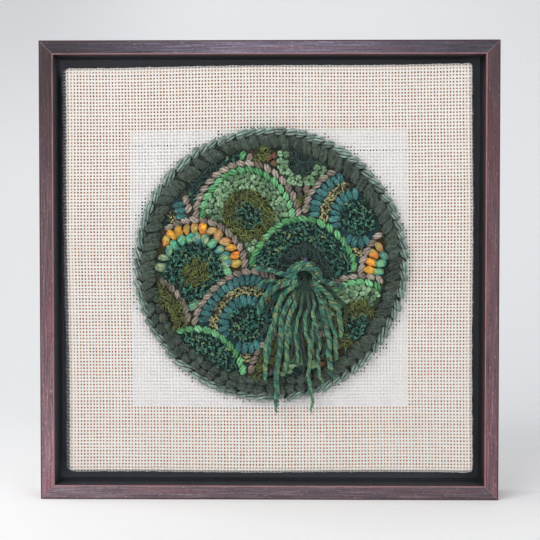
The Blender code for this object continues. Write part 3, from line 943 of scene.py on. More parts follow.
def build_rails(material):
    """Four mitred rails. Their painted light and shade along each rail, its tint and how far the face colour
    reaches in differ.
    """
    section = rail_section()
    around = [0.0]
    for (in_a, y_a), (in_b, y_b) in zip(section, section[1:] + section[:1]):
        around.append(around[-1] + math.hypot(in_b - in_a, y_b - y_a))
    stations = 29
    # Place; painted light and shade at a rail's start, middle and end, for sheen and reflection on the
    # stain; its tint, partly the stain's own and partly that painted sheen's; how deep the
    # face colour reaches on the inner wall
    looks = (
        ("bottom", (1.65, 1.08, 0.92), (0.93, 1.02, 1.03), 0.0024),
        ("left", (0.30, 1.00, 1.88), (1.08, 0.95, 0.97), 0.0024),
        ("top", (0.46, 1.50, 0.28), (0.86, 1.09, 1.24), 0.0080),
        ("right", (1.18, 0.90, 0.52), (1.10, 0.90, 0.88), 0.0120),
    )
    for turn, (place, painted_light_and_shade, sheen_and_stain_tint, overspray) in enumerate(looks):
        spin = Matrix.Rotation(turn * math.pi / 2, 4, "Y")
        points = []
        inward = []
        painted_light_tones = []
        to_mitre = []
        for step in range(stations):
            share = step / (stations - 1)
            light = blend_three(painted_light_and_shade, share)
            for inset, y in section:
                half = MIDDLE_Z - inset - MITRE_GAP
                x = half * (2 * share - 1)
                turned = spin @ Vector((x, y, inset - MIDDLE_Z))
                points.append(turned + Vector((0.0, 0.0, MIDDLE_Z)))
                inward.append(inset)
                painted_light_tones.extend((light * sheen_and_stain_tint[0], light * sheen_and_stain_tint[1], light * sheen_and_stain_tint[2], 1.0))
                to_mitre.append(half - abs(x))
        size = len(section)
        faces = []
        for step in range(stations - 1):
            for index in range(size):
                a = step * size + index
                b = step * size + (index + 1) % size
                faces.append((a, b, b + size, a + size))
        faces.append(tuple(reversed(range(size))))
        faces.append(tuple(range((stations - 1) * size, stations * size)))
        rail = add_mesh(f"stained_rail_{place}", points, faces, material)
        mesh = rail.data
        put_numbers(mesh, "inward", inward)
        put_numbers(mesh, "depth", [point[1] - FRAME_FRONT for point in points])
        put_numbers(mesh, "overspray", [overspray] * len(points))
        # tone: painted light and shade along the rail for sheen and reflection, with its tint
        put_numbers(mesh, "tone", painted_light_tones, "FLOAT_COLOR")
        put_numbers(mesh, "to_mitre", to_mitre)
        grain = mesh.uv_layers.new(name="grain")
        length = 2 * MIDDLE_Z / (stations - 1)
        for polygon in mesh.polygons:
            for corner, loop in enumerate(polygon.loop_indices):
                vertex = mesh.loops[loop].vertex_index
                station, index = divmod(vertex, size)
                past_seam = len(polygon.vertices) == 4 and polygon.index % size == size - 1
                distance = around[-1] if past_seam and index == 0 else around[index]
                grain.data[loop].uv = (station * length + turn * 1.7, distance + turn * 0.3)
        mesh.set_sharp_from_angle(angle=math.radians(50))
        fix_normals(mesh)
        fit(rail, "stained_wood", f"frame_rail_{place}")


def fix_normals(mesh):
    """Turn a closed mesh's faces outwards where its volume comes out negative."""
    mesh.update()
    volume = 0.0
    for polygon in mesh.polygons:
        volume += polygon.center.dot(polygon.normal) * polygon.area
    if volume < 0:
        mesh.flip_normals()


# Cloth

def out_of_square(x, z):
    """Where a point of the true square panel lies on the crept and slightly wavy one."""
    across = x / HALF_PANEL
    up = z / HALF_PANEL
    phase = 2 * math.pi / WAVE_LENGTH
    new_x = x + EDGE_WAVE * across * math.sin(z * phase + 0.6)
    new_z = z + EDGE_WAVE * up * math.sin(x * phase + 2.1)
    for side, level, drift_x, drift_z in CORNER_DRIFT:
        share = (1 + side * across) * (1 + level * up) / 4
        new_x += share * drift_x
        new_z += share * drift_z
    return new_x, new_z


def bend_over(distance, half, roll):
    """Cloth laid from the middle outwards: how far across it lies, how deep, how far it has turned."""
    way = math.copysign(1.0, distance)
    past = abs(distance) - (half - roll)
    if past <= 0:
        return distance, 0.0, 0.0
    quarter = roll * math.pi / 2
    if past < quarter:
        turn = past / roll
        return way * (half - roll + roll * math.sin(turn)), roll * (1 - math.cos(turn)), way * turn
    return way * half, roll + past - quarter, way * math.pi / 2


def on_cloth(s, t, lift):
    """World place and outward direction of a point of the cloth, lifted off its middle layer."""
    half = HALF_PANEL + STAND_PROUD
    roll = EDGE_ROLL
    x, depth_x, turn_x = bend_over(s, half, roll)
    z, depth_z, turn_z = bend_over(t, half, roll)
    out = Vector((math.sin(turn_x), -math.cos(turn_x) * math.cos(turn_z), math.sin(turn_z))).normalized()
    corner = half - CORNER_RADIUS
    if abs(x) > corner and abs(z) > corner:
        over = Vector((abs(x) - corner, abs(z) - corner))
        if over.length > CORNER_RADIUS:
            over *= CORNER_RADIUS / over.length
            x = math.copysign(corner + over.x, x)
            z = math.copysign(corner + over.y, z)
    new_x, new_z = out_of_square(x, z)
    depth = max(depth_x, depth_z)
    new_x -= flare(x, depth)
    ragged = smooth_step(depth, 0.0, EDGE_ROLL)
    new_x += ragged * 0.0006 * noise.noise(Vector((z * 260, depth * 200, 4.0)))
    new_z += ragged * 0.0006 * noise.noise(Vector((x * 260, depth * 200, 8.0)))
    y = THREAD_LEVEL + depth + 0.3 * min(depth_x, depth_z)
    return Vector((new_x, y, new_z + MIDDLE_Z)) + lift * out, out


def flare(x, depth):
    """How far the left side's cloth stands out at a depth behind the front."""
    if x > -HALF_PANEL * 0.98:
        return 0.0
    return SIDE_FLARE * smooth_step(depth, 0.0020, 0.0060)


def crossing(column, row):
    """Where two threads cross on the laid-out cloth, with their drift."""
    s = column * WARP_PITCH
    t = row * WEFT_PITCH
    place = Vector((s * 14, t * 14, 3.1))
    drift_s = noise.noise(place)
    drift_t = noise.noise(place + Vector((7.7, 1.3, 5.0)))
    jitter_s = noise.noise(Vector((s * 700, t * 90, 9.0)))
    jitter_t = noise.noise(Vector((s * 90, t * 700, 2.0)))
    return (
        s + THREAD_DRIFT * drift_s + THREAD_JITTER * jitter_s,
        t + THREAD_DRIFT * drift_t + THREAD_JITTER * jitter_t,
    )


def weave(material):
    """Every thread of the panel's front, over and under by turns, but none under the disc."""
    hank = Hank()
    reach = HALF_PANEL + STAND_PROUD - EDGE_ROLL + EDGE_ROLL * math.pi / 2 + SIDE_DEPTH
    counts = {"warp": round(reach / WARP_PITCH), "weft": round(reach / WEFT_PITCH)}
    middle = Vector((DISC_U, DISC_V))
    hidden = RIM_RADIUS - 0.0060

    def run(kind, number):
        way = 1 if kind == "warp" else -1
        others = counts["weft" if kind == "warp" else "warp"]
        shade = chance.random()
        width = chance.uniform(0.88, 1.12)
        points = []
        girths = []
        normals = []
        for other in range(-others, others + 1):
            column, row = (number, other) if kind == "warp" else (other, number)
            s, t = crossing(column, row)
            buried = (Vector((s, t)) - middle).length < hidden
            if not buried:
                over = way * (1 if (column + row) % 2 else -1)
                place, out = on_cloth(s, t, over * THREAD_SWING)
                points.append(place)
                normals.append(out)
                slub = 1.0 + 0.16 * noise.noise(Vector((s * 330, t * 330, shade * 50)))
                girths.append(width * slub * (1.06 if over > 0 else 0.94))
            if (buried or other == others) and points:
                if len(points) > 1:
                    hank.lay(points, girths, shade, normals)
                points, girths, normals = [], [], []

    for kind in ("warp", "weft"):
        for number in range(-counts[kind], counts[kind] + 1):
            run(kind, number)
    return grow("cloth_threads", hank.mesh("cloth_threads"), WEAVE_CLOTH, {
        "Thread Width": THREAD_WIDTH,
        "Thread Rise": THREAD_RISE,
        "Material": material,
    })


def hem_material():
    """The cloth where it runs back along the sides and lies turned over on the board's back; its turned edge
    carries painted shade, darkest on the left side.
    """
    material, tree, shader = new_material("hemmed_cloth", 0.9, 0.15)
    place = tree.place()
    across, back, up = tree.parts(place)
    bars = tree.maths("SINE", across * (2 * math.pi / WARP_PITCH))
    rows = tree.maths("SINE", up * (2 * math.pi / WEFT_PITCH))
    runs = tree.maths("SINE", back * (2 * math.pi / WEFT_PITCH))
    on_back = tree.step(back, CLOTH_BACK - 0.0012, CLOTH_BACK - 0.0006)
    grid = (bars * rows) * on_back + (bars + rows + runs) * 0.3 * (1.0 - on_back)
    fibre = tree.noise(place, 2200.0, 3.0)
    holes = tree.step(grid, 0.35, 0.75)
    colour = tree.mix(holes * 0.6, srgb(234, 231, 225), srgb(176, 140, 112))
    tan = tree.mix(fibre, srgb(190, 144, 112), srgb(216, 180, 150))
    # Painted shade: the turned edge is grey, and dark blue-grey on the left side where shade falls.
    left_painted_shade = tree.step(across, -0.1240, -0.1255)
    shaded_turned_edge = tree.mix(left_painted_shade, srgb(206, 204, 206), srgb(104, 100, 118))
    lapped = tree.mix(tree.step(back, THREAD_LEVEL + 0.0008, THREAD_LEVEL + 0.0018), tan, shaded_turned_edge)
    lapped = tree.mix(tree.step(back, THREAD_LEVEL + 0.0070, THREAD_LEVEL + 0.0110), lapped, colour)
    feed(tree, shader, Base_Color=lapped, Normal=tree.bump(fibre * 0.3 - grid * 0.5, 0.6, 0.0005))
    return material


def square_loop(half, radius, y, corner_steps=5, side_steps=24):
    """Points round a square with rounded corners, crept like the panel."""
    points = []
    for quarter in range(4):
        turn = quarter * math.pi / 2
        outline = []
        for step in range(corner_steps + 1):
            angle = math.pi / 2 * step / corner_steps
            outline.append((
                half - radius + radius * math.cos(angle),
                half - radius + radius * math.sin(angle),
            ))
        for step in range(1, side_steps):
            outline.append(((half - radius) * (1 - 2 * step / side_steps), half))
        for across, up in outline:
            x = across * math.cos(turn) - up * math.sin(turn)
            z = across * math.sin(turn) + up * math.cos(turn)
            new_x, new_z = out_of_square(x, z)
            swollen = flare(x, y - THREAD_LEVEL) * (1 - smooth_step(y, BOARD_FRONT + 0.010, CLOTH_BACK))
            points.append(Vector((new_x - swollen, y, new_z + MIDDLE_Z)))
    return points


def build_cloth():
    """The threads of the front and the closed cloth of sides and hem, in one piece."""
    threads = weave(cloth_thread())
    path = [(HALF_PANEL - 0.0036, CORNER_RADIUS, THREAD_LEVEL + 0.0006)]
    under = 0.0006
    roll = EDGE_ROLL - under
    for degrees in (0, 30, 60, 90):
        turn = math.radians(degrees)
        reach = HALF_PANEL + STAND_PROUD - EDGE_ROLL + roll * math.sin(turn)
        path.append((reach, CORNER_RADIUS, THREAD_LEVEL + under + roll * (1 - math.cos(turn))))
    path.append((HALF_PANEL + STAND_PROUD - under, CORNER_RADIUS, THREAD_LEVEL + 0.0050))
    path.append((HALF_PANEL, CORNER_RADIUS, THREAD_LEVEL + 0.0085))
    path.append((HALF_PANEL - 0.0003, CORNER_RADIUS, THREAD_LEVEL + 0.0100))
    for degrees in (90, 60, 30, 0):
        turn = math.radians(degrees)
        reach = HALF_PANEL - 0.0003 - BACK_ROLL * (1 - math.sin(turn))
        path.append((reach, CORNER_RADIUS, CLOTH_BACK - BACK_ROLL * (1 - math.cos(turn)) - 0.0002))
    path.append((HALF_PANEL - HEM / 2, 0.001, CLOTH_BACK - 0.0004))
    path.append((HALF_PANEL - HEM, 0.001, CLOTH_BACK - 0.0006))
    rings = [square_loop(*station) for station in path]
    size = len(rings[0])
    faces = []
    for ring in range(len(rings) - 1):
        for index in range(size):
            a = ring * size + index
            b = ring * size + (index + 1) % size
            faces.append((a, a + size, b + size, b))
    points = [point for ring in rings for point in ring]
    for index, point in enumerate(points):
        point.y += 0.00015 * noise.noise(point * 90.0)
    hem = add_mesh("cloth_hem", points, faces, hem_material())
    join(threads, [hem])
    fit(threads, "open_weave", "cloth_panel")


def join(target, others):
    """Join meshes into the first one."""
    for obj in bpy.context.view_layer.objects:
        obj.select_set(False)
    for obj in [target, *others]:
        obj.select_set(True)
    bpy.context.view_layer.objects.active = target
    with bpy.context.temp_override(
        active_object=target,
        object=target,
        selected_objects=[target, *others],
        selected_editable_objects=[target, *others],
    ):
        bpy.ops.object.join()


def build_lining():
    """The pale square between the open weave and the board, a little wavy."""
    steps = 24
    points = []
    for row in range(steps + 1):
        for column in range(steps + 1):
            x = PATCH_SIDE * (column / steps - 0.5)
            z = PATCH_SIDE * (row / steps - 0.5)
            wave = 0.00006 * noise.noise(Vector((x * 60, z * 60, 0.5)))
            new_x, new_z = out_of_square(x + PATCH_MIDDLE[0], z + PATCH_MIDDLE[1])
            points.append((new_x, BOARD_FRONT - 0.00030 + wave, new_z + MIDDLE_Z))
    faces = []
    for row in range(steps):
        for column in range(steps):
            a = row * (steps + 1) + column
            faces.append((a, a + 1, a + steps + 2, a + steps + 1))
    lining = add_mesh("lining_cloth", points, faces, lining_cloth())
    fit(lining, "lining", "lining_patch")


def lay_yarn_ends(material):
    """Dark yarn ends in the cloth's holes: a line over the disc and specks all round the rim."""
    points = []
    faces = []

    def lump(column, row, size):
        corners = [crossing(column + i, row + j) for i in (0, 1) for j in (0, 1)]
        s = sum(corner[0] for corner in corners) / 4
        t = sum(corner[1] for corner in corners) / 4
        middle = on_cloth(s, t, 0.0)[0]
        first = len(points)
        points.append(middle + Vector((0.0, -0.0001, 0.0)))
        for step in range(6):
            turn = step * math.pi / 3
            reach = size * chance.uniform(0.8, 1.2)
            points.append(middle + Vector((reach * math.cos(turn), 0.0004, reach * math.sin(turn))))
        for step in range(6):
            faces.append((first, first + 1 + step, first + 1 + (step + 1) % 6))
        faces.append(tuple(first + 6 - step for step in range(6)))

    reach = round(PATCH_SIDE / 2 / WARP_PITCH)
    middle = Vector((DISC_U, DISC_V))
    for column in range(-reach, reach):
        if chance.random() < LINE_SHARE:
            row = LINE_ROW if column < 0 else LINE_ROW - LINE_STEP
            lump(column, row, chance.uniform(*LINE_ENDS))
    for column in range(-reach - 2, reach + 2):
        for row in range(-reach - 2, reach + 2):
            place = Vector(((column + 0.5) * WARP_PITCH, (row + 0.5) * WEFT_PITCH))
            past = (place - middle).length - RIM_RADIUS
            clump = noise.noise(Vector((place.x * 70, place.y * 70, 6.0)))
            beside = SPECK_FROM < past < SPECK_TO
            if beside and chance.random() < SPECK_SHARE + clump - past * SPECK_FADE:
                lump(column, row, chance.uniform(*RIM_ENDS))
    ends = add_mesh("dark_yarn_ends", points, faces, material)
    fix_normals(ends.data)
    fit(ends, "hooked_yarn")


# Hooked disc

def on_disc(u, v, w):
    """World place of a point of the disc, with the wandering of hand-hooked lines."""
    fade = max(0.0, 1.0 - (math.hypot(u, v) / RIM_RADIUS) ** 4)
    new_u = u + WANDER * fade * (math.sin(v / 0.017 + 1.1) + 0.6 * math.sin((u + v) / 0.011))
    new_v = v + WANDER * fade * (math.sin(u / 0.019 + 2.0) + 0.6 * math.cos((u - v) / 0.012))
    return Vector((DISC_U + new_u, CLOTH_FRONT - w, MIDDLE_Z + DISC_V + new_v))


def shell_centre(column, row):
    across = 2 * column + row % 2
    return Vector((ROOT_U + across * SHELL_RADIUS, ROOT_V + row * SHELL_RADIUS))


def shows(point, column, row, margin=0.0):
    """True where a scale shows: in its circle and the field, outside the scales over it."""
    if point.length > FIELD_RADIUS - margin:
        return False
    if (point - shell_centre(column, row)).length > SHELL_RADIUS:
        return False
    shift = row % 2
    for lower_column in (column - 1 + shift, column + shift):
        if (point - shell_centre(lower_column, row - 1)).length < SHELL_RADIUS + margin:
            return False
    return True


class Seat:
    """Where one stitch goes: place, direction along its row, height of its top, row's width."""

    def __init__(self, place, along, height, width, turn):
        self.place = place
        self.along = along
        self.across = Vector((-along.y, along.x))
        self.height = height
        self.width = width
        self.turn = turn


def seats(yarn, margin=0.0008):
    """All stitches of a yarn, row by row round the middle of each scale that holds it."""
    row_width, pitch = ROWS[yarn]
    for name, column, row, kind in SHELLS:
        centre = shell_centre(column, row)
        outer = SHELL_RADIUS
        for band, width, height in BANDS[kind]:
            if band == yarn:
                rows = max(1, round(width / row_width))
                for line in range(rows):
                    radius = outer - (line + 0.5) * width / rows
                    count = max(1, round(2 * math.pi * radius / pitch))
                    start = chance.random()
                    for index in range(count):
                        turn = (index + start) * 2 * math.pi / count
                        way = Vector((math.cos(turn), math.sin(turn)))
                        place = centre + radius * way
                        beside = (place - Vector((ROOT_U, TASSEL_V))).length > HOLLOW
                        if beside and shows(place, column, row, margin):
                            yield Seat(place, Vector((-way.y, way.x)), height, width / rows, turn)
            outer -= width


def nodes_with(*yarns):
    """The scales that hold any of these yarns."""
    return [name for name, _, _, kind in SHELLS if any(band[0] in yarns for band in BANDS[kind])]


def lay_loop(hank, place, way, reach, foot, top, size, ends, power=2.0, square=2.0, steps=4, lean=None):
    """A hooked loop: up out of the ground, over and down again, thinner at its ends."""
    points = []
    girths = []
    for step in range(steps + 1):
        share = 2 * step / steps - 1
        spot = place + way * (reach * share)
        if lean:
            spot = spot + lean * (1 - share * share)
        points.append(on_disc(spot.x, spot.y, foot + (top - foot) * (1 - abs(share) ** square)))
        girths.append((1 - (1 - ends) * abs(share) ** power) * size)
    hank.lay(points, girths, chance.random())


def turned(way, degrees):
    turn = math.radians(degrees)
    return Vector((
        way.x * math.cos(turn) - way.y * math.sin(turn),
        way.x * math.sin(turn) + way.y * math.cos(turn),
    ))


def random_way():
    turn = chance.random() * 2 * math.pi
    return Vector((math.cos(turn), math.sin(turn)))


def hook(yarn, name, material, stitch, margin, *spun):
    """Hook a yarn's stitches along all its rows and spin them as one piece."""
    hank = Hank()
    for seat in seats(yarn, margin):
        stitch(hank, seat)
    hank.spin(name, material, "hooked_yarn", nodes_with(yarn), *spun)


def chain_stitch(hank, seat):
    """A slanted bead of four plies that laps the next."""
    size = chance.uniform(0.88, 1.10)
    way = turned(seat.along, chance.uniform(-36, -16))
    top = seat.height - 0.0021 * size + chance.uniform(-0.0004, 0.0004)
    lay_loop(hank, seat.place, way, 0.0028, top - 0.0021, top, size, 0.46, 2.6, square=2.6)


def rib_stitch(hank, seat):
    """A bar of tweed yarn that lies across its row."""
    size = chance.uniform(0.88, 1.12)
    way = turned(seat.across, chance.uniform(-12, 12))
    top = seat.height - 0.0019 + chance.uniform(-0.0007, 0.0004)
    half = seat.width * chance.uniform(0.42, 0.50)
    lay_loop(hank, seat.place, way, half, top - 0.0034, top, size, 0.78, 4.0, square=3.4, steps=6)


def slub_stitch(hank, seat):
    """A fat soft loop of roving, one full lump that crowds its row."""
    size = chance.uniform(0.86, 1.16)
    way = turned(seat.along, chance.uniform(30, 110))
    top = seat.height - 0.0026 * size + chance.uniform(-0.0007, 0.0006)
    lean = random_way() * 0.0005
    lay_loop(hank, seat.place, way, 0.0030, top - 0.0030, top, size, 0.50, 2.4, 2.6, 6, lean)


def nub_stitch(hank, seat):
    """A lumpy knot of boucle yarn, wound once round itself."""
    size = chance.uniform(0.80, 1.20)
    level = seat.height - 0.0017 * size + chance.uniform(-0.0012, 0.0005)
    spot = seat.place + random_way() * 0.0005
    side = random_way()
    winding = chance.uniform(4.2, 5.6)
    points = []
    girths = []
    for step in range(7):
        turn = winding * step / 6
        out = spot + 0.0011 * (side * math.cos(turn) + turned(side, 90) * math.sin(turn))
        points.append(on_disc(out.x, out.y, level + 0.0010 * math.sin(turn * 1.6)))
        girths.append(size * (1.12 if step % 2 else 0.80))
    hank.lay(points, girths, chance.random())


def speckle_stitch(hank, seat):
    """A short stitch of thin two-coloured yarn that lies any way."""
    top = seat.height - 0.0009 + chance.uniform(-0.0011, 0.0008)
    way = turned(seat.along, chance.uniform(-70, 70))
    spot = seat.place + random_way() * 0.0004
    lay_loop(hank, spot, way, 0.0013, top - 0.0013, top, 1.0, 0.60)


def pebble_stitch(hank, seat):
    """A small tight loop like a pebble, from another length of yarn than its neighbours."""
    size = chance.uniform(0.82, 1.18)
    top = seat.height - 0.0020 * size + chance.uniform(-0.0008, 0.0005)
    lay_loop(hank, seat.place, random_way(), 0.0019, top - 0.0024, top, size, 0.55, square=2.6)


def curl_stitch(hank, seat):
    """A silky curled lock: a short bow of plied yarn that leans any way, some proud, some deep."""
    radius = chance.uniform(0.0009, 0.0017)
    level = seat.height - chance.uniform(0.0002, 0.0030)
    first = random_way()
    tilt = chance.uniform(-0.9, 0.9)
    start = chance.random() * 2 * math.pi
    sweep_angle = chance.uniform(1.3, 3.4)
    spot = seat.place + random_way() * 0.0005
    points = []
    for step in range(6):
        turn = start + sweep_angle * step / 5
        flat = first * (radius * math.cos(turn)) + turned(first, 90) * (radius * math.sin(turn))
        points.append(on_disc(spot.x + flat.x, spot.y + flat.y, level + tilt * radius * math.sin(turn)))
    size = chance.uniform(0.85, 1.45)
    girths = [(1 - 0.60 * abs(2 * step / 5 - 1) ** 2) * size for step in range(6)]
    hank.lay(points, girths, chance.random())


def tuft_stitch(length, count):
    """A tuft of hairs that spring from their row and curve over it."""

    def lay(hank, seat):
        comb = random_way()
        for _ in range(count):
            way = turned(comb, chance.uniform(-70, 70))
            spot = seat.place + random_way() * 0.0012
            size = chance.uniform(0.6, 1.2)
            start = seat.height - chance.uniform(0.0016, 0.0034)
            rise = chance.uniform(0.0012, 0.0038)
            bend = chance.uniform(-45, 45)
            points = []
            for share, up in ((0.0, 0.0), (0.35, 0.75), (0.70, 1.0), (1.0, 0.80)):
                far = spot + turned(way, bend * share) * (length * size * share)
                points.append(on_disc(far.x, far.y, start + rise * up))
            hank.lay(points, (1.0, 1.1, 0.8, 0.35), chance.random())

    return lay


def lay_strays(material):
    """Loose single fibres over the whole disc."""
    hank = Hank()
    for _ in range(STRAYS):
        radius = RIM_RADIUS * math.sqrt(chance.random())
        spot = random_way() * radius
        way = random_way()
        length = chance.uniform(0.005, 0.013)
        bend = chance.uniform(-70, 70)
        lift = chance.uniform(0.0002, 0.0014)
        points = []
        for step in range(5):
            share = step / 4
            far = spot + turned(way, bend * share) * (length * share)
            if far.length < RIM_RADIUS - 0.003:
                points.append(on_disc(far.x, far.y, BORDER_HEIGHT + lift * math.sin(share * math.pi)))
        if len(points) > 2:
            hank.lay(points, [1.0] * len(points), chance.random())
    names = [name for name, _, _, _ in SHELLS]
    hank.spin("stray_fibres", material, "hooked_yarn", names, 1, 0.0, 0.00009, 3, 0, 0.0016)


def build_ground(material):
    """Lumpy wool ground under all the stitches, a little below their tops."""
    rings = 56
    spokes = 220

    def cover(point):
        """Yarn and height of its tops at a point of the disc."""
        if point.length > RIM_RADIUS - RIM_WIDTH:
            return "rim", RIM_HEIGHT
        if point.length > FIELD_RADIUS:
            return "border", BORDER_HEIGHT
        for name, column, row, kind in reversed(SHELLS):
            depth = SHELL_RADIUS - (point - shell_centre(column, row)).length
            if depth > 0:
                for yarn, width, height in BANDS[kind]:
                    depth -= width
                    if depth < 0:
                        return yarn, height
        return "curls", 0.0080

    points = []
    dye = []
    for ring in range(rings + 1):
        radius = (RIM_RADIUS - 0.0012) * ring / rings
        for spoke in range(spokes if ring else 1):
            turn = spoke * 2 * math.pi / spokes
            spot = Vector((radius * math.cos(turn), radius * math.sin(turn)))
            yarn, height = cover(spot)
            if (spot - Vector((ROOT_U, TASSEL_V))).length < HOLLOW + 0.0010:
                yarn = "hollow"
            below = 0.0040 if yarn in FAT_YARNS else 0.0028
            level = height - below + 0.0008 * noise.noise(Vector((spot.x * 380, spot.y * 380, 2.0)))
            if ring > rings - 2:
                level = min(level, 0.0012)
            points.append(on_disc(spot.x, spot.y, level))
            dye.extend(srgb(*GROUND_DYES_AND_SHADE[yarn]))
    for spoke in range(spokes):
        turn = spoke * 2 * math.pi / spokes
        radius = RIM_RADIUS - 0.0010
        points.append(on_disc(radius * math.cos(turn), radius * math.sin(turn), PILE_FOOT))
        dye.extend(srgb(*GROUND_DYES_AND_SHADE["rim"]))
    faces = []
    for spoke in range(spokes):
        after = (spoke + 1) % spokes
        faces.append((0, 1 + spoke, 1 + after))
        for ring in range(rings):
            a = 1 + ring * spokes
            faces.append((a + spoke, a + spokes + spoke, a + spokes + after, a + after))
    ground = add_mesh("pile_ground", points, faces, material)
    put_numbers(ground.data, "dye", dye, "FLOAT_COLOR")
    face_front(ground.data)
    return fit(ground, "hooked_yarn", *[name for name, _, _, _ in SHELLS])


def face_front(mesh):
    mesh.update()
    if sum(polygon.normal.y * polygon.area for polygon in mesh.polygons) > 0:
        mesh.flip_normals()


def build_rim(material):
    """Chain stitches round the disc, each a slanted spindle of five strands."""
    hank = Hank()
    middle = RIM_RADIUS - RIM_WIDTH / 2 - 0.0001
    for index in range(RIM_LINKS):
        turn = (index + chance.uniform(-0.16, 0.16)) * 2 * math.pi / RIM_LINKS
        way = Vector((math.cos(turn), math.sin(turn)))
        along = turned(Vector((-way.y, way.x)), chance.uniform(22, 44))
        size = chance.uniform(0.86, 1.14)
        place = (middle + chance.uniform(-0.0005, 0.0005)) * way
        top = RIM_HEIGHT - 0.0016 * size + chance.uniform(-0.0004, 0.0004)
        lay_loop(hank, place, along, 0.0036, 0.0001, top, size, 0.48, steps=6)
    hank.spin("rim_stitches", material, "rim_yarn", ["rim_chain"], 5, 0.00172, 0.00084, 5, 40, 0.0010)


def build_border(material, fuzz):
    """Thick soft roving: slanted loops laid like rope, two short ones deep at the lower left."""
    hank = Hank()
    middle = RIM_RADIUS - RIM_WIDTH - BORDER_WIDTH / 2
    for index in range(BORDER_LOOPS):
        degrees = (index + chance.uniform(-0.15, 0.15)) * 360 / BORDER_LOOPS
        way = turned(Vector((1.0, 0.0)), degrees)
        if DEEP_FROM < degrees < DEEP_TO:
            for out in (-1, 1):
                size = chance.uniform(0.80, 1.00)
                top = BORDER_HEIGHT - 0.0027 * size + chance.uniform(-0.0012, 0.0004)
                bump = turned(way, out * 2.0)
                place = (middle + out * DEEP_OUT + chance.uniform(-0.0006, 0.0006)) * bump
                slanted = turned(way, chance.uniform(20, 120))
                lay_loop(hank, place, slanted, 0.0018, top - 0.0030, top, size, 0.70, square=2.6, steps=6)
            continue
        size = chance.uniform(0.86, 1.10)
        slanted = turned(way, chance.uniform(26, 54))
        top = BORDER_HEIGHT - 0.0030 * size + chance.uniform(-0.0006, 0.0005)
        place = (middle + chance.uniform(-0.0006, 0.0006)) * way
        lean = turned(way, 90) * chance.uniform(-0.0010, 0.0010)
        lay_loop(hank, place, slanted, 0.0042, top - 0.0034, top, size, 0.62, 3.0, 2.8, 6, lean)
    loops = hank.spin(
        "roving_loops", material, "dark_roving", ["border_loops"], 4, 0.00145, 0.00165, 7, 45, 0.0012)
    hairs = grow("roving_fuzz", loops.data.copy(), RAISE_FUZZ, {
        "Density": 140000.0,
        "Length": 0.0036,
        "Thickness": 0.00010,
        "Lean": 0.9,
        "Seed": 5,
        "Material": fuzz,
    })
    fit(hairs, "dark_roving")


# Tassel

def strand_level(u, v, run, upper):
    """Height of a strand's middle: on the pile, or down over the rim to the cloth."""
    level = LOW_LEVEL
    if upper:
        level += (HIGH_LEVEL - LOW_LEVEL) * (1 - smooth_step(run, 0.008, 0.028))
    from_middle = math.hypot(u, v)
    fall = smooth_step(from_middle, RIM_RADIUS - FALL_BEFORE, RIM_RADIUS + FALL_AFTER)
    return level + (CLOTH_LEVEL - level) * fall


def strand_path(angle, from_root, end_u, end_v, upper, sunk, wave):
    """Middle line of a strand: springs out from under the arch, then hangs in slack waves."""
    way = Vector((math.sin(angle), -math.cos(angle)))
    start = from_root * way
    end = Vector((end_u, end_v))
    reach = min(STRAND_SPRING, 0.45 * (end - start).length)
    first_pull = start + way * reach
    fall = -STRAND_FALL * min(end.y, 0.0)
    last_pull = end + Vector((0.10 * (start.x - end.x), fall))
    sideways = turned((end - start).normalized(), 90)
    slow = chance.random() * 2 * math.pi
    quick = chance.random() * 2 * math.pi
    path = []
    for step in range(STRAND_STEPS + 1):
        t = step / STRAND_STEPS
        point = (
            start * (1 - t) ** 3
            + first_pull * 3 * t * (1 - t) ** 2
            + last_pull * 3 * t * t * (1 - t)
            + end * t ** 3
        )
        run = (point - start).length
        sway = math.sin(run * 190 + slow) + 0.45 * math.sin(run * 520 + quick)
        point = point + sideways * (wave * min(t * 3, 1.0) * sway)
        u = ROOT_U + point.x
        v = TASSEL_V + point.y
        level = strand_level(u, v, run, upper) + 0.0005 * math.sin(run * 300 + quick)
        deep = sunk * (1 - smooth_step(run, RISE_FROM, RISE_TO)) + (0.0 if upper else UNDER_DROP)
        path.append(on_disc(u, v, level - deep))
    return path


def taper(count, size):
    """Girths of a strand that narrows at its cut end."""
    girths = [size] * count
    girths[-2] *= 0.92
    girths[-1] *= 0.55
    return girths


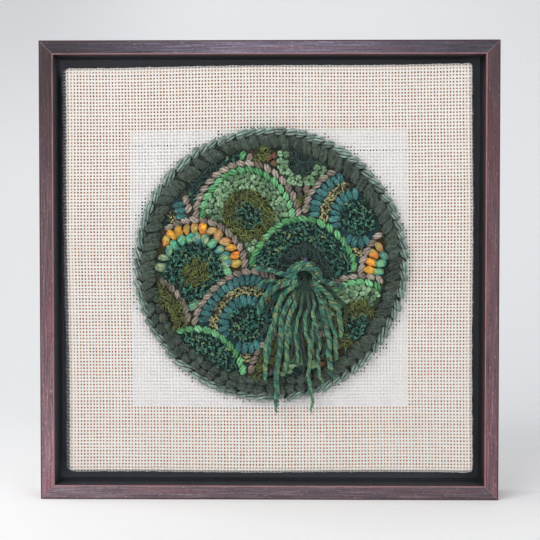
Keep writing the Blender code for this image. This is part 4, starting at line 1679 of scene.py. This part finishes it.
def build_tassel(material, shaded):
    """Plied strands that spring from under an arch, fat bright ones over thin ones in a darker copy of the
    silk that is painted shade.
    """
    bright = Hank()
    dark = Hank()
    frays = Hank()
    first_column = -(len(STRANDS) // 4)
    for index, (end_u, end_v) in enumerate(STRANDS):
        upper = index % 2 == 0
        column = first_column + index // 2 - (1 if upper else 0)
        angle = (column + 0.5 + (0.5 if upper else 0.0)) * 2 * math.pi / HEAD_COLUMNS
        wave = chance.uniform(0.0005, 0.0013)
        end_v -= TASSEL_V - ROOT_V
        kind = "upper" if upper else "under"
        if upper and HIDDEN_FROM < end_u < HIDDEN_TO:
            kind = "hidden"
        from_root, depth, thin, fat = SPRINGS[kind]
        sunk = depth if abs(end_u) < HANGING else 0.0
        path = strand_path(angle, from_root, end_u, end_v, upper, sunk, wave)
        hank = dark if index % 4 == 3 else bright
        hank.lay(path, taper(len(path), chance.uniform(thin, fat)), chance.random())
        for _ in range(FRAYS):
            way = turned(Vector((0.0, -1.0)), chance.uniform(-60, 60))
            long = chance.uniform(0.0015, 0.0040)
            flat = Vector((way.x, 0.0, way.y)) * long
            end = path[-1] + Vector((chance.uniform(-0.0008, 0.0008), chance.uniform(-0.0006, 0.0004), 0.0))
            frays.lay([end, end + flat * 0.5, end + flat], (1.0, 0.8, 0.4), chance.random())
    for index in range(FINE_STRANDS):
        end_u = -FINE_SPAN / 2 + FINE_SPAN * (index + chance.random()) / FINE_STRANDS
        end_v = chance.uniform(-0.056, -0.022)
        angle = math.atan2(end_u, -end_v) * 1.5
        from_root = -0.0040 if abs(end_u) < FINE_INNER else 0.0014
        path = strand_path(angle, from_root, end_u, end_v, False, 0.0030, chance.uniform(0.0006, 0.0016))
        dark.lay(path, taper(len(path), chance.uniform(0.42, 0.62)), chance.random())
    for index in range(ROOT_ARCS):
        radius = ARC_RADIUS + ARC_STEP * index
        tip = chance.uniform(-8, 8)
        points = []
        for step in range(11):
            turn = math.radians(206 + tip - (236 - 14 * index) * step / 10)
            peak = 1.0 + 0.10 * max(math.sin(turn), 0.0)
            u = ROOT_U + radius * 1.25 * math.cos(turn)
            v = TASSEL_V + radius * peak * math.sin(turn) - 0.0002
            points.append(on_disc(u, v, 0.0126 - 0.0010 * index + 0.0006 * math.sin(step * 1.9 + index)))
        bright.lay(points, taper(len(points), chance.uniform(0.80, 0.96)), chance.random())
    bright.spin("tassel_strands", material, "tassel_yarn", ["tassel"], 4, 0.00102, 0.00062, 5, -145, 0.0009)
    dark.spin("tassel_under_strands", shaded, "tassel_yarn", ["tassel"], 3, 0.00090, 0.00064, 5, -145, 0.0011)
    frays.spin("tassel_frays", material, "tassel_yarn", ["tassel"], 1, 0.0, 0.00016, 3, 0, 0.0010)


# Camera, light and surroundings

def look_at(obj, target):
    way = target - obj.location
    obj.rotation_euler = way.to_track_quat("-Z", "Y").to_euler()


def add_camera():
    elevation = math.radians(1.8)
    azimuth = math.radians(0.9)
    distance = 0.85
    aim = Vector((0.00064, FRAME_FRONT, MIDDLE_Z + 0.00061))
    data = bpy.data.cameras.new("camera")
    data.lens = 90.86
    data.sensor_width = 36.0
    camera = bpy.data.objects.new("camera", data)
    bpy.context.scene.collection.objects.link(camera)
    camera.location = aim + distance * Vector((
        math.sin(azimuth) * math.cos(elevation),
        -math.cos(azimuth) * math.cos(elevation),
        math.sin(elevation),
    ))
    look_at(camera, aim)
    bpy.context.scene.camera = camera


def add_area(name, place, target, size, power, colour=(1.0, 1.0, 1.0)):
    data = bpy.data.lights.new(name, "AREA")
    data.shape = "RECTANGLE"
    data.size = size[0]
    data.size_y = size[1]
    data.energy = power
    data.color = colour
    lamp = bpy.data.objects.new(name, data)
    bpy.context.scene.collection.objects.link(lamp)
    lamp.location = place
    look_at(lamp, Vector(target))


def add_surroundings():
    """One pale sheet that is floor and backdrop, darkened by painted shade towards its upper left and, less,
    its upper right.
    """
    material, tree, shader = new_material("studio_sheet", 0.9)
    place = tree.place()
    tone = tree.noise(place, 6.0, 1.0)
    across, back, up = tree.parts(place)
    away = tree.step(back, 0.0, 0.30)
    paper = tree.mix(tone, srgb(248, 248, 248), srgb(251, 251, 251))
    wall = tree.mix(away, paper, srgb(248, 249, 250))
    # Painted shade: the backdrop darkens towards its upper left and, less, its upper right.
    high = tree.step(up, 0.20, 0.56)
    left = tree.step(across, -0.10, -0.42) * high
    right = tree.step(across, 0.12, 0.42) * high
    colour = tree.mix(left * 0.55 + right * 0.15, wall, srgb(204, 204, 208))
    feed(tree, shader, Base_Color=colour)
    floor_end = 0.35
    sweep = 1.1
    section = [(-2.5, 0.0), (floor_end, 0.0)]
    for step in range(1, 17):
        turn = math.pi / 2 * step / 16
        section.append((floor_end + sweep * math.sin(turn), sweep * (1 - math.cos(turn))))
    section.append((floor_end + sweep, 3.0))
    points = []
    for y, z in section:
        points.append((-3.0, y, z))
        points.append((3.0, y, z))
    faces = [(2 * i, 2 * i + 1, 2 * i + 3, 2 * i + 2) for i in range(len(section) - 1)]
    sheet = add_mesh("studio_sheet", points, faces, material)

    world = bpy.data.worlds.new("studio")
    bpy.context.scene.world = world
    world.use_nodes = True
    background = world.node_tree.nodes["Background"]
    background.inputs["Color"].default_value = (0.96, 0.97, 1.0, 1.0)
    background.inputs["Strength"].default_value = 0.48
    add_area("key", (-1.05, -1.5, 1.2), (0.0, 0.0, 0.12), (1.5, 1.5), 25.5, (1.0, 0.99, 0.98))
    add_area("fill", (1.1, -1.6, 0.7), (0.0, 0.0, 0.14), (1.2, 1.2), 11.5, (0.97, 0.98, 1.0))
    add_area("floor_light", (-0.60, 0.06, 0.55), (-0.26, -0.12, 0.0), (0.3, 0.3), 1.25)


def dress_board():
    board = frame["nodes"]["stretcher_board"]
    material = bare_board()
    if not board.material_slots:
        board.data.materials.append(material)
    for slot in board.material_slots:
        slot.material = material


def build_disc():
    """Ground, hooked yarns, rim, border and tassel."""
    build_ground(ground_wool())
    yarn = {name: yarn_finish(name, lots, **ways) for name, (lots, ways) in YARNS.items()}
    chain = (chain_stitch, 0.0008, 4, 0.00128, 0.00086, 6, 58, 0.0010)
    slub = (slub_stitch, 0.0008, 3, 0.00085, 0.00182, 8, 55, 0.0010)
    moss_hair = 0.0046
    mohair = 0.0070
    # Yarn, its piece and material, the stitch, how far it keeps from a scale's edge, and how
    # it is spun: plies, their spread and radius, sides, turns in a metre, step
    for row, piece, material, *work in (
        ("taupe_chain", "taupe_chain_stitches", "taupe_wool", *chain),
        ("green_chain", "green_chain_stitches", "green_wool", *chain),
        ("teal_ribs", "teal_ribs", "teal_tweed", rib_stitch, 0.0008, 4, 0.00095, 0.00098, 6, 95, 0.0011),
        ("gold_slubs", "gold_slub_loops", "gold_roving", *slub),
        ("mint_slubs", "mint_slub_loops", "mint_roving", *slub),
        ("sage_nubs", "sage_nubs", "sage_boucle", nub_stitch, 0.0008, 2, 0.00042, 0.00086, 6, 180, 0.0009),
        ("speckle", "speckled_stitches", "speckled_yarn", speckle_stitch, 0.0004,
         2, 0.00040, 0.00056, 5, 230, 0.0008),
        ("pebbles", "pebble_loops", "pebble_yarns", pebble_stitch, 0.0008,
         3, 0.00070, 0.00132, 7, 70, 0.0009),
        ("curls", "curled_locks", "curled_silk", curl_stitch, 0.0004, 2, 0.00036, 0.00044, 5, 230, 0.0009),
        ("moss", "moss_tufts", "moss_hair", tuft_stitch(moss_hair, 7), 0.0002,
         1, 0.0, 0.00022, 3, 0, moss_hair / 4),
        ("mohair", "mohair_tufts", "dark_mohair", tuft_stitch(mohair, 6), 0.0002,
         1, 0.0, 0.00013, 3, 0, mohair / 4),
    ):
        hook(row, piece, yarn[material], *work)
    lay_strays(yarn["dark_mohair"])
    build_rim(yarn["rim_wool"])
    build_border(yarn["dark_roving"], yarn["roving_wisps"])
    build_tassel(yarn["tassel_silk"], yarn["tassel_shaded_silk"])


add_camera()
add_surroundings()
build_rails(stained_wood())
dress_board()
build_lining()
lay_yarn_ends(end_yarn())
build_cloth()
build_disc()

bpy.context.scene.view_settings.view_transform = "Standard"
